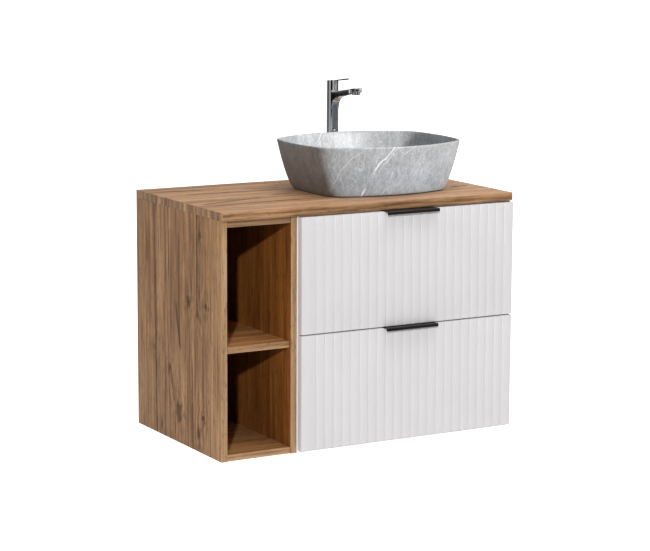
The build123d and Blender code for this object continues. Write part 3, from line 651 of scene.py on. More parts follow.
# painted shade: a darker copy of the level edge band for the top board's front edge, which lies in the
# worktop's shadow
OAK_BAND_PAINTED_SHADE = Oak(
    "oak_band_shaded", Grain.ALONG_WALL, (2.2, 0.4, 4.1), (0.43, 0.262, 0.138), (0.19, 0.10, 0.046),
    contrast=1.3,
)
# oak in painted shade, for the compartments' walls and back and the undersides of the top board and the shelf
OAK_INSIDE_PAINTED_SHADE = Oak("oak_inside_painted_shade", Grain.UPRIGHT, (1.7, 0.3, 0.5), **INSIDE_PAINTED_SHADE)
OAK_UNDERSIDE_PAINTED_SHADE = Oak("oak_underside_painted_shade", Grain.ALONG_WALL, (0.9, 1.3, 0.4), **INSIDE_PAINTED_SHADE)
OAK_SHELF_PAINTED_LIGHT = Oak("oak_shelf", Grain.ALONG_WALL, (1.9, 2.3, 0.8), **LIT)
OAK_FLOOR = Oak("oak_unit_floor", Grain.ALONG_WALL, (0.9, 1.3, 0.4), (0.54, 0.27, 0.10), (0.20, 0.088, 0.028))
OAK_TOP = Oak(
    "oak_worktop", Grain.ALONG_WALL, (2.3, 1.1, 0.6), **TOP, knots=TOP_KNOTS, cracks=TOP_CRACKS, origin=0.59
)
OAK_TOP_UNDER = Oak("oak_worktop_under", Grain.ALONG_WALL, (4.3, 1.1, 0.6), **OUTER)
OAK_NOSE = Oak("oak_worktop_front", Grain.ALONG_WALL, (1.3, 5.1, 2.6), **NOSE, contrast=2.3)
OAK_TOP_END = Oak(
    "oak_worktop_end", Grain.UPRIGHT, (3.3, 2.1, 0.6), (0.56, 0.34, 0.19), (0.20, 0.105, 0.05), contrast=2.0
)


# ---------------------------------------------------------------- studio


@dataclass
class Studio:
    """Camera, soft lights, world and floor: places in metres, angles in degrees, lens in millimetres."""

    eye: Point = (-2.7182, -5.0318, 1.3201)
    yaw: float = 29.57
    pitch: float = 9.69
    roll: float = 0.269
    lens: float = 124.86
    floor_z: float = -0.42
    key_sun: float = 1.95
    basin_sun: float = 5.4
    top_watts: float = 30.6
    front_watts: float = 1.5

    def set_up(self) -> None:
        """Makes everything around the object."""
        bpy.context.scene.view_settings.view_transform = "Standard"
        self.camera()
        self.world()
        self.floor()
        self.lights()

    def camera(self) -> None:
        """Makes the camera and makes it the scene's."""
        yaw, pitch, roll = (math.radians(a) for a in (self.yaw, self.pitch, self.roll))
        ahead = Vector((math.sin(yaw) * math.cos(pitch), math.cos(yaw) * math.cos(pitch), -math.sin(pitch)))
        level = Vector((math.cos(yaw), -math.sin(yaw), 0.0))
        above = level.cross(ahead)
        right = math.cos(roll) * level + math.sin(roll) * above
        up = -math.sin(roll) * level + math.cos(roll) * above
        data = bpy.data.cameras.new("camera")
        data.lens, data.sensor_width, data.sensor_fit = self.lens, 36.0, "HORIZONTAL"
        data.clip_end = 100.0
        camera = bpy.data.objects.new("camera", data)
        bpy.context.scene.collection.objects.link(camera)
        turn = Matrix((right, up, -ahead)).transposed().to_4x4()
        camera.matrix_world = Matrix.Translation(Vector(self.eye)) @ turn
        bpy.context.scene.camera = camera

    def world(self) -> None:
        """A white room: white to the eye, soft for light, and with grey cards for gloss to mirror."""
        world = bpy.data.worlds.new("studio")
        world.use_nodes = True
        bpy.context.scene.world = world
        s = Sheet(world.node_tree)
        x, y, z = s.split(s.add("TexCoord").outputs["Generated"])
        # the cards: upright bands, broad and narrow, all round
        turn = s.math("ARCTAN2", x, y)
        wide = s.math("SINE", s.math("MULTIPLY", turn, -5.0))
        narrow = s.math("SINE", s.math("MULTIPLY", turn, 13.0))
        cards = s.ramp(s.math("MULTIPLY_ADD", narrow, 0.95, wide), 0.15, 0.8)
        cards = s.math("MULTIPLY_ADD", cards, 0.70, 0.010)
        sky = s.ramp(z, 0.1, 0.75, (0.0, 1.0))
        mirror = s.math("MULTIPLY_ADD", sky, 0.5, cards)
        # what each kind of ray meets: light from the soft room, gloss from the cards, the eye plain white
        ray = s.add("LightPath").outputs
        soft = s.ramp(z, -0.6, 0.8, (0.126, 0.234))
        level = s.add("Mix", {0: ray["Is Glossy Ray"], 2: soft, 3: mirror}).outputs[0]
        level = s.add("Mix", {0: ray["Is Camera Ray"], 2: level, 3: 1.0}).outputs[0]
        back = s.add("Background", {"Color": (1.0, 1.0, 1.0), "Strength": level})
        s.feed(s.add("OutputWorld").inputs["Surface"], back.outputs[0])

    def floor(self) -> None:
        """A plain pale floor far below the hanging cabinets."""
        bpy.ops.mesh.primitive_plane_add(size=60.0, location=(0, 0, self.floor_z))
        floor = bpy.context.active_object
        floor.name = "floor"
        mat = bpy.data.materials.new("floor_white")
        mat.use_nodes = True
        s = Sheet(mat.node_tree)
        shader = s.add("BsdfPrincipled", {"Base Color": (0.95, 0.95, 0.95), "Roughness": 0.9})
        shader.inputs["Specular IOR Level"].default_value = 0.1
        shader.inputs["Emission Color"].default_value = (1, 1, 1, 1)
        seen = s.add("LightPath").outputs["Is Camera Ray"]
        s.feed(shader.inputs["Emission Strength"], s.math("MULTIPLY_ADD", seen, 0.62, 0.38))
        s.feed(s.add("OutputMaterial").inputs["Surface"], shader.outputs[0])
        floor.data.materials.append(mat)
        floor.visible_glossy = False

    def lights(self) -> None:
        """One firm key from the left front, and a broad soft box overhead."""
        origin, sun = Vector((0, 0, 0)), math.radians(2.2)
        self.lamp("key", "SUN", Vector((-2.0, -3.2, 1.45)), origin, self.key_sun, angle=sun)
        over, target = Vector((0.1, -0.7, 2.6)), Vector((0.0, -0.25, 0.5))
        self.lamp("top_box", "AREA", over, target, self.top_watts, size=1.6)
        ahead, target = Vector((1.2, -3.4, 1.4)), Vector((0.1, -0.3, 0.4))
        self.lamp("front_box", "AREA", ahead, target, self.front_watts, size=1.8)

    def light_basin(self, basin: bpy.types.Object) -> None:
        """Keeps the key off the basin, which has a firm light of its own from the right front.

        Args:
            basin: The basin's shell.
        """
        place, origin = Vector((0.30, -0.90, 0.32)), Vector((0, 0, 0))
        side = self.lamp("basin_side", "SUN", place, origin, self.basin_sun, angle=math.radians(9))
        for lamp, state in ((bpy.data.objects["key"], "EXCLUDE"), (side, "INCLUDE")):
            group = bpy.data.collections.new(lamp.name + "_and_basin")
            group.objects.link(basin)
            for member in group.collection_objects:
                member.light_linking.link_state = state
            lamp.light_linking.receiver_collection = group
            lamp.light_linking.blocker_collection = group

    def lamp(
        self, name: str, kind: str, place: Vector, aim: Vector, power: float, **settings: float
    ) -> bpy.types.Object:
        """Adds one lamp.

        Args:
            name: Its name.
            kind: SUN or AREA.
            place: Where it stands.
            aim: Where it points.
            power: Its strength, in watts or, for a sun, watts per square metre.
            settings: More properties of the lamp.

        Returns:
            The lamp's object.
        """
        data = bpy.data.lights.new(name, kind)
        data.energy = power
        for key, value in settings.items():
            setattr(data, key, value)
        lamp = bpy.data.objects.new(name, data)
        bpy.context.scene.collection.objects.link(lamp)
        lamp.location = place
        lamp.rotation_euler = (aim - place).to_track_quat("-Z", "Y").to_euler()
        return lamp


# ---------------------------------------------------------------- bench


class Bench:
    """One piece being modelled: it starts as a primitive and is shaped in edit mode."""

    def __init__(self, name: str) -> None:
        """Takes the primitive that was just added, and puts its size and place in its mesh.

        Args:
            name: The piece's name.
        """
        self.object = bpy.context.active_object
        self.object.name = self.object.data.name = name
        bpy.ops.object.transform_apply(location=True, rotation=True, scale=True)

    @staticmethod
    def clear() -> None:
        """Leaves edit mode and deselects everything."""
        if bpy.context.mode != "OBJECT":
            bpy.ops.object.mode_set(mode="OBJECT")
        bpy.ops.object.select_all(action="DESELECT")

    @classmethod
    def block(cls, name: str, low: Point, high: Point) -> "Bench":
        """A block between two corners.

        Args:
            name: The piece's name.
            low: Its lowest corner.
            high: Its highest corner.

        Returns:
            The piece.
        """
        cls.clear()
        centre = tuple((a + b) / 2 for a, b in zip(low, high))
        size = tuple(b - a for a, b in zip(low, high))
        bpy.ops.mesh.primitive_cube_add(size=1.0, location=centre, scale=size)
        return cls(name)

    @classmethod
    def rod(cls, name: str, radius: float, foot: Point, length: float, sides: int = 64) -> "Bench":
        """An upright rod.

        Args:
            name: The piece's name.
            radius: Its radius.
            foot: The middle of its lower end.
            length: Its length.
            sides: Corners of its section.

        Returns:
            The piece.
        """
        cls.clear()
        middle = (foot[0], foot[1], foot[2] + length / 2)
        bpy.ops.mesh.primitive_cylinder_add(vertices=sides, radius=radius, depth=length, location=middle)
        return cls(name)

    @classmethod
    def turned(cls, name: str, profile: Sequence[Pair], centre: Point, sides: int = 64) -> "Bench":
        """An upright body of revolution, drawn ring by ring.

        Args:
            name: The piece's name.
            profile: (radius, height) of each ring in turn; a ring of radius 0 closes that end.
            centre: The axis's foot, where height is 0.
            sides: Corners of a ring.

        Returns:
            The piece, closed on itself where no end has radius 0.
        """
        cls.clear()
        least = 1e-5
        radius, height = max(profile[0][0], least), profile[0][1]
        bpy.ops.mesh.primitive_circle_add(vertices=sides, radius=radius, location=(0, 0, height))
        piece = cls(name)
        piece.edit()
        bpy.ops.mesh.select_all(action="SELECT")
        for wide, level in profile[1:]:
            wide = max(wide, least)
            bpy.ops.mesh.extrude_edges_move()
            bpy.ops.transform.translate(value=(0, 0, level - height))
            bpy.ops.transform.resize(value=(wide / radius, wide / radius, 1), center_override=(0, 0, level))
            radius, height = wide, level
        if profile[0][0] > 0 and profile[-1][0] > 0:
            bpy.ops.mesh.select_all(action="DESELECT")
            bpy.ops.mesh.select_non_manifold()
            bpy.ops.mesh.bridge_edge_loops()
        piece.seal(2 * least)
        cls.clear()
        piece.object.data.transform(Matrix.Translation(centre))
        return piece

    def pick(self, test: Test, edges: bool = False) -> int:
        """Selects in edit mode the faces, or the edges, that pass a test.

        Args:
            test: Takes the middle and the normal of a face, or the middle and the direction of an edge.
            edges: Whether edges are tested in place of faces.

        Returns:
            How many were selected.
        """
        bpy.context.tool_settings.mesh_select_mode = (False, edges, not edges)
        mesh = bmesh.from_edit_mesh(self.object.data)
        for vert in mesh.verts:
            vert.select = False
        mesh.select_flush(False)
        found = 0
        for part in mesh.edges if edges else mesh.faces:
            if edges:
                middle = (part.verts[0].co + part.verts[1].co) / 2
                way = (part.verts[1].co - part.verts[0].co).normalized()
            else:
                middle, way = part.calc_center_median(), part.normal
            if test(middle, way):
                part.select_set(True)
                found += 1
        bmesh.update_edit_mesh(self.object.data)
        return found

    def take(self) -> None:
        """Makes the piece the only one that is selected, in object mode."""
        self.clear()
        self.object.select_set(True)
        bpy.context.view_layer.objects.active = self.object

    def edit(self) -> None:
        """Enters edit mode with nothing selected."""
        self.take()
        bpy.ops.object.mode_set(mode="EDIT")
        bpy.context.tool_settings.mesh_select_mode = (True, False, False)
        bpy.ops.mesh.select_all(action="DESELECT")

    def cut(self, point: Point, way: Point) -> None:
        """Cuts the whole mesh along a plane and keeps both sides.

        Args:
            point: A point of the plane.
            way: The direction square to the plane.
        """
        bpy.ops.mesh.select_all(action="SELECT")
        bpy.ops.mesh.bisect(plane_co=point, plane_no=way)
        bpy.ops.mesh.select_all(action="DESELECT")

    def pull(self, test: Test, move: Point) -> None:
        """Extrudes the faces that pass a test by a vector."""
        self.pick(test)
        bpy.ops.mesh.extrude_region_move(TRANSFORM_OT_translate={"value": move})

    def seal(self, gap: float = 1e-5) -> None:
        """Merges corners that lie on each other and turns every face outwards.

        Args:
            gap: The distance under which two corners are one.
        """
        bpy.ops.mesh.select_all(action="SELECT")
        bpy.ops.mesh.remove_doubles(threshold=gap)
        bpy.ops.mesh.normals_make_consistent(inside=False)

    @classmethod
    def bar(cls, name: str, x: float, half: float, stations: Sequence[Point]) -> "Bench":
        """A bar that runs towards the front, drawn from station to station.

        Args:
            name: The piece's name.
            x: Its middle.
            half: Half its width.
            stations: (y, lowest height, highest height) of each station, each further to the front.

        Returns:
            The bar, still in edit mode.
        """
        (y, low, high), rest = stations[0], stations[1:]
        piece = cls.block(name, (x - half, rest[0][0], low), (x + half, y, high))
        piece.edit()
        for number, (near, under, over) in enumerate(rest):
            if number:
                piece.pull(lambda middle, way: way.y < -0.9 and middle.y < y + TOUCH, (0, near - y, 0))
            centre = (low + high) / 2
            for wanted, step in ((1, over - high), (-1, under - low)):
                piece.pick(
                    lambda middle, way: abs(way.x) > 0.9 and abs(middle.y - near) < TOUCH
                    and (middle.z - centre) * wanted > 0, edges=True,
                )
                bpy.ops.transform.translate(value=(0, 0, step))
            y, low, high = near, under, over
        return piece

    def modifier(self, kind: str, **settings: object) -> None:
        """Adds a modifier and applies it.

        Args:
            kind: Blender's name of its type.
            settings: Its properties.
        """
        self.take()
        added = self.object.modifiers.new(kind.lower(), kind)
        for key, value in settings.items():
            setattr(added, key, value)
        bpy.ops.object.modifier_apply(modifier=added.name)

    def soften(self, width: float, segments: int = 2, angle: float = 30.0) -> None:
        """Rounds every edge sharper than an angle."""
        turn = math.radians(angle)
        self.modifier("BEVEL", width=width, segments=segments, limit_method="ANGLE", angle_limit=turn)

    def carve(self, tools: Iterable["Bench"], how: str = "DIFFERENCE") -> None:
        """Takes tools out of the piece, or joins them to it, and clears them away.

        Args:
            tools: The pieces to work with.
            how: DIFFERENCE or UNION.
        """
        for tool in tools:
            self.modifier("BOOLEAN", object=tool.object, operation=how, solver="EXACT")
            bpy.data.objects.remove(tool.object)

    def smooth(self, angle: float = 35.0) -> None:
        """Shades the piece smooth up to an angle."""
        self.take()
        bpy.ops.object.shade_smooth_by_angle(angle=math.radians(angle))

    def paint(self, finish: Finish, test: Test | None = None) -> None:
        """Gives the faces that pass a test a finish, or every face where there is no test.

        Args:
            finish: The finish.
            test: Takes the middle and the normal of a face.
        """
        mesh = self.object.data
        mesh.materials.append(finish.material())
        place = len(mesh.materials) - 1
        for face in mesh.polygons:
            if test is None or test(face.center, face.normal):
                face.material_index = place

    def hand_over(self, body: str, slot: str, *nodes: str) -> bpy.types.Object:
        """Puts the finished piece in its body and in the place of its CAD nodes.

        Args:
            body: The body that it rides on.
            slot: The record's material slot; not used.
            nodes: The CAD nodes that it stands for.

        Returns:
            The piece's object.
        """
        self.clear()
        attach(self.object, body)
        if nodes:
            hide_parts(*nodes)
        log.info("%s: %d faces, on %s", self.object.name, len(self.object.data.polygons), body)
        return self.object


def corners(node: str) -> tuple[Vector, Vector]:
    """The lowest and highest corners of a CAD node."""
    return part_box(node)


def middle_of(node: str) -> Vector:
    """The middle of a CAD node's box."""
    low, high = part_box(node)
    return (low + high) / 2


def dress(finish: Finish, *nodes: str) -> None:
    """Gives CAD nodes a finish in every material slot.

    Args:
        finish: The finish.
        nodes: The nodes that keep their CAD shape.
    """
    for node in nodes:
        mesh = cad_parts[node].data
        mesh.materials.clear()
        mesh.materials.append(finish.material())


def arc(radius: float, cx: float, cy: float, start: float, stop: float, steps: int) -> list[Pair]:
    """Points of an arc, angles in degrees."""
    turns = [math.radians(start + (stop - start) * i / steps) for i in range(steps + 1)]
    return [(cx + radius * math.cos(a), cy + radius * math.sin(a)) for a in turns]


# ---------------------------------------------------------------- boards


@dataclass
class Board:
    """A board cut from coated sheet, with glued edge bands and broken arrises."""

    node: str
    sheet: Finish
    slot: str
    body: str = "cabinet"
    bands: dict[Side, Finish] = field(default_factory=dict)
    faces: dict[Side, Finish] = field(default_factory=dict)
    band: float = 0.8 * MM
    arris: float = 0.5 * MM

    def build(self) -> Bench:
        """Cuts the board, marks off its bands and dresses it.

        Returns:
            The piece, not yet handed over.
        """
        low, high = corners(self.node)
        piece = Bench.block(self.node.replace("shelf_unit", "open_unit") + "_board", tuple(low), tuple(high))
        piece.edit()
        for side in self.bands:
            way = Vector(side.value)
            face = Vector(tuple(high[i] if way[i] > 0 else low[i] for i in range(3)))
            piece.cut(tuple(face - way * self.band), side.value)
        piece.soften(self.arris, 2, 60.0)
        piece.paint(self.sheet)
        for side, finish in self.faces.items():
            way = Vector(side.value)
            piece.paint(finish, lambda middle, normal: normal.dot(way) > 0.9)
        for side, finish in self.bands.items():
            way = Vector(side.value)
            reach = max(low.dot(way), high.dot(way)) - self.band * 1.02
            piece.paint(finish, lambda middle, normal: middle.dot(way) > reach)
        piece.smooth(40)
        return piece

    def make(self) -> None:
        """Builds the board and puts it in its place."""
        self.build().hand_over(self.body, self.slot, self.node)


@dataclass
class ShelfUnit:
    """The open oak unit on the left."""

    back_arris: float = 0.2 * MM

    def make(self) -> None:
        """Builds its six boards."""
        upright, level, shaded = ({Side.FRONT: band} for band in (OAK_BAND, OAK_BAND_FLAT, OAK_BAND_PAINTED_SHADE))
        below = {Side.BELOW: OAK_UNDERSIDE_PAINTED_SHADE}
        # the faces inside the compartments take oak in painted shade, the shelf takes oak in painted light,
        # and the top board's front band takes a painted shade
        for part, sheet, bands, faces in (
            ("side_left", OAK_PANEL, upright, {Side.RIGHT: OAK_INSIDE_PAINTED_SHADE}),
            ("side_right", OAK_INSIDE_PAINTED_SHADE, upright, {Side.RIGHT: OAK_PLAIN}),
            ("top", OAK_PLAIN, shaded, below),
            ("bottom", OAK_PLAIN, level, {Side.ABOVE: OAK_FLOOR}),
            ("shelf", OAK_SHELF_PAINTED_LIGHT, level, below),
        ):
            Board("shelf_unit_" + part, sheet, "oak", bands=bands, faces=faces).make()
        rear = {Side.REAR: OAK_PLAIN}
        Board("shelf_unit_back", OAK_INSIDE_PAINTED_SHADE, "oak", faces=rear, arris=self.back_arris).make()


@dataclass
class Worktop:
    """The oak worktop with its postformed front edge and the holes for the waste and the mixer."""

    nose: float = 1.6 * MM
    waste_hole: float = 25 * MM
    tap_hole: float = 17.5 * MM
    end_band: float = 0.8 * MM

    def make(self) -> None:
        """Builds the worktop."""
        low, high = corners("worktop")
        piece = Bench.block("worktop_board", tuple(low), tuple(high))
        piece.edit()
        piece.pick(lambda middle, way: abs(way.x) > 0.9 and middle.y < low.y + MM, edges=True)
        bpy.ops.mesh.bevel(offset=self.nose, segments=4, affect="EDGES")
        for x, side in ((low.x + self.end_band, Side.LEFT), (high.x - self.end_band, Side.RIGHT)):
            piece.cut((x, 0, 0), side.value)
        holes = ((middle_of("waste_plug"), self.waste_hole), (middle_of("tap_stem_carrier"), self.tap_hole))
        under = low.z - 10 * MM
        piece.carve([Bench.rod("drill", radius, (spot.x, spot.y, under), 60 * MM) for spot, radius in holes])
        piece.soften(0.4 * MM, 2, 60.0)
        piece.paint(OAK_TOP)
        piece.paint(OAK_TOP_UNDER, lambda middle, normal: normal.z < -0.9)
        front, left, right = low.y + self.nose * 1.1, low.x + MM, high.x - MM
        piece.paint(OAK_NOSE, lambda middle, normal: middle.y < front and normal.y < -0.5)
        piece.paint(OAK_TOP_END, lambda middle, normal: abs(normal.x) > 0.5 and not left < middle.x < right)
        piece.smooth(35)
        piece.hand_over("cabinet", "oak", "worktop")


@dataclass
class DrawerCase:
    """The white cabinet that carries the drawers, its runners, dowels, hangers and screws."""

    def make(self) -> None:
        """Builds its boards and dresses its hardware."""
        front = {Side.FRONT: WHITE_BAND}
        edges = {Side.BELOW: WHITE_BAND, Side.ABOVE: WHITE_BAND}
        for part, bands in (
            ("side_left", front), ("bottom", front), ("front_rail", front), ("side_right", front),
            ("back_rail", edges), ("lower_rail", edges),
        ):
            Board("carcass_" + part, WHITE_BOARD, "white_board", bands=bands).make()
        dress(BEECH, "dowels")
        dress(ZINC, "hangers", "wall_plates", "joining_screws", "worktop_screws")
        dress(ZINC, "runner_fixed", "runner_upper_middle", "runner_lower_middle")


# ---------------------------------------------------------------- drawers


@dataclass
class Drawer:
    """A drawer: its ribbed front, edge pull and box."""

    level: str
    groove_first: float = 40 * MM
    groove_pitch: float = 24 * MM
    grooves: int = 23
    groove_r: float = 2.1 * MM
    groove_deep: float = 1.5 * MM
    sheet: float = 1.5 * MM
    lip: float = 6 * MM
    bend: float = 2.6 * MM
    arris: float = 1.2 * MM

    @property
    def body(self) -> str:
        """The body that the drawer rides as."""
        return f"{self.level}_drawer"

    def make(self) -> None:
        """Builds the drawer."""
        self.front()
        self.pull()
        self.box()

    def front(self) -> None:
        """The front board: milled grooves under a satin white film."""
        node = f"drawer_{self.level}_front"
        low, high = corners(node)
        piece = Bench.block(node + "_board", tuple(low), tuple(high))
        piece.edit()
        piece.pick(lambda middle, way: middle.y < low.y + MM / 2, edges=True)
        bpy.ops.mesh.bevel(offset=self.arris, segments=3, affect="EDGES")
        axis = low.y - self.groove_r + self.groove_deep
        foot = (low.x + self.groove_first, axis, low.z - 0.01)
        cutter = Bench.rod("cutter", self.groove_r, foot, high.z - low.z + 0.02, 32)
        cutter.modifier(
            "ARRAY", count=self.grooves, use_relative_offset=False, use_constant_offset=True,
            constant_offset_displace=(self.groove_pitch, 0, 0),
        )
        piece.carve([cutter])
        piece.soften(0.35 * MM, 2, 45.0)
        piece.paint(WHITE_FRONT)
        piece.paint(WHITE_BOARD, lambda middle, normal: normal.y > 0.9)
        piece.smooth(28)
        piece.hand_over(self.body, "white_front", node)

    def pull(self) -> None:
        """The edge pull: sheet folded over the front's top edge, with a lip turned down."""
        node = f"drawer_{self.level}_pull"
        low, high = corners(node)
        rear, tip = high.y, low.y
        top, t = high.z - self.sheet, self.sheet
        piece = Bench.block(node + "_sheet", (low.x, rear - t, low.z), (high.x, rear, top))
        piece.edit()
        piece.pull(lambda middle, way: way.z > 0.9, (0, 0, t))
        piece.pull(lambda middle, way: way.y < -0.9 and middle.z > top, (0, tip + t - (rear - t), 0))
        piece.pull(lambda middle, way: way.y < -0.9 and middle.z > top, (0, -t, 0))
        piece.pull(lambda middle, way: way.z < -0.9 and middle.y < tip + t, (0, 0, -self.lip))
        bpy.ops.mesh.select_all(action="SELECT")
        bpy.ops.mesh.dissolve_limited(angle_limit=math.radians(1))
        for y, z, radius, segments in (
            (tip, high.z, self.bend, 6), (rear, high.z, self.bend * 0.7, 5), (tip + t, top, self.bend - t, 5),
        ):
            piece.pick(
                lambda middle, way: abs(way.x) > 0.9 and max(abs(middle.y - y), abs(middle.z - z)) < t / 4,
                edges=True,
            )
            bpy.ops.mesh.bevel(offset=radius, segments=segments, affect="EDGES")
        piece.seal()
        piece.soften(0.25 * MM, 2, 50.0)
        piece.paint(BLACK_COAT)
        piece.smooth(35)
        piece.hand_over(self.body, "black", node)

    def box(self) -> None:
        """The drawer's box, and the finish of its runners and screws."""
        bands = {Side.ABOVE: BOX_BAND}
        boards = {"side_left": bands, "side_right": bands}
        if self.level == "lower":
            boards.update(back=bands, bottom={})
        else:
            dress(DRAWER_BOARD, "drawer_upper_back", "drawer_upper_bottom")
            dress(GUARD, "drawer_upper_siphon_guard")
        for part, edges in boards.items():
            Board(f"drawer_{self.level}_{part}", DRAWER_BOARD, "drawer_board", self.body, edges).make()
        dress(ZINC, f"drawer_{self.level}_pull_screws", f"runner_{self.level}_inner")


# ---------------------------------------------------------------- basin


@dataclass(frozen=True)
class Outline:
    """A rectangle with bowed sides and rounded corners: half length, half width, bows and corner radius."""

    a: float
    b: float
    bow: float
    end_bow: float
    radius: float

    def between(self, other: "Outline", share: float) -> "Outline":
        """The outline part of the way to another."""
        mix = [p + share * (q - p) for p, q in zip(self.sizes(), other.sizes())]
        return Outline(*mix)

    def sizes(self) -> tuple[float, ...]:
        """Its five sizes."""
        return self.a, self.b, self.bow, self.end_bow, self.radius

    def inset(self, depth: float) -> "Outline":
        """The outline drawn in by a depth."""
        k = (self.b - depth) / self.b
        return Outline(self.a - depth, self.b - depth, self.bow * k, self.end_bow * k, self.radius * k)

    def reach(self, steps: int) -> list[Pair]:
        """Points of a quarter of the outline, from +X round to +Y.

        Args:
            steps: How many steps each of its three arcs takes.

        Returns:
            The points of the end's arc, the corner's and the long side's.
        """
        corner_x, corner_y = self.a - self.end_bow, self.b - self.bow
        long_r = (corner_x**2 + self.bow**2) / (2 * self.bow)
        end_r = (corner_y**2 + self.end_bow**2) / (2 * self.end_bow)
        long_c, end_c = Vector((0, self.b - long_r)), Vector((self.a - end_r, 0))
        r = min(self.radius, 0.95 * long_r, 0.95 * end_r)
        # the corner's arc touches both others from inside: its middle is where two circles cross
        gap = end_c - long_c
        ra, rb = long_r - r, end_r - r
        t = (ra * ra - rb * rb + gap.length_squared) / (2 * gap.length)
        h = math.sqrt(max(ra * ra - t * t, 0.0))
        u = gap.normalized()
        w = Vector((-u.y, u.x))
        middle = max((long_c + u * t + w * h, long_c + u * t - w * h), key=lambda q: q.x + q.y)
        t1 = long_c + (middle - long_c).normalized() * long_r
        t2 = end_c + (middle - end_c).normalized() * end_r
        points: list[Pair] = []
        for c, radius, start, stop in (
            (end_c, end_r, Vector((self.a, 0)), t2), (middle, r, t2, t1),
            (long_c, long_r, t1, Vector((0, self.b))),
        ):
            a0, a1 = (math.degrees(math.atan2(*reversed(p - c))) for p in (start, stop))
            points += arc(radius, c.x, c.y, a0, a1, steps)
        return points

    def at(self, angles: Sequence[float]) -> list[Pair]:
        """The outline seen from its middle.

        Args:
            angles: Rising angles in radians, from 0 to a quarter turn.

        Returns:
            The outline's point in each of those directions.
        """
        points = self.reach(40)
        return along(points, [math.atan2(y, x) for x, y in points], angles)


def along(
    points: Sequence[Pair], marks: Sequence[float], goals: Sequence[float]
) -> list[Pair]:
    """Points found between others by a rising measure.

    Args:
        points: The points to go between.
        marks: The measure at each of them.
        goals: The measures that are looked for, rising.

    Returns:
        The point at each goal.
    """
    found, i = [], 0
    for goal in goals:
        while i < len(marks) - 2 and marks[i + 1] < goal:
            i += 1
        k = (goal - marks[i]) / max(marks[i + 1] - marks[i], 1e-9)
        (x0, y0), (x1, y1) = points[i], points[i + 1]
        found.append((x0 + k * (x1 - x0), y0 + k * (y1 - y0)))
    return found


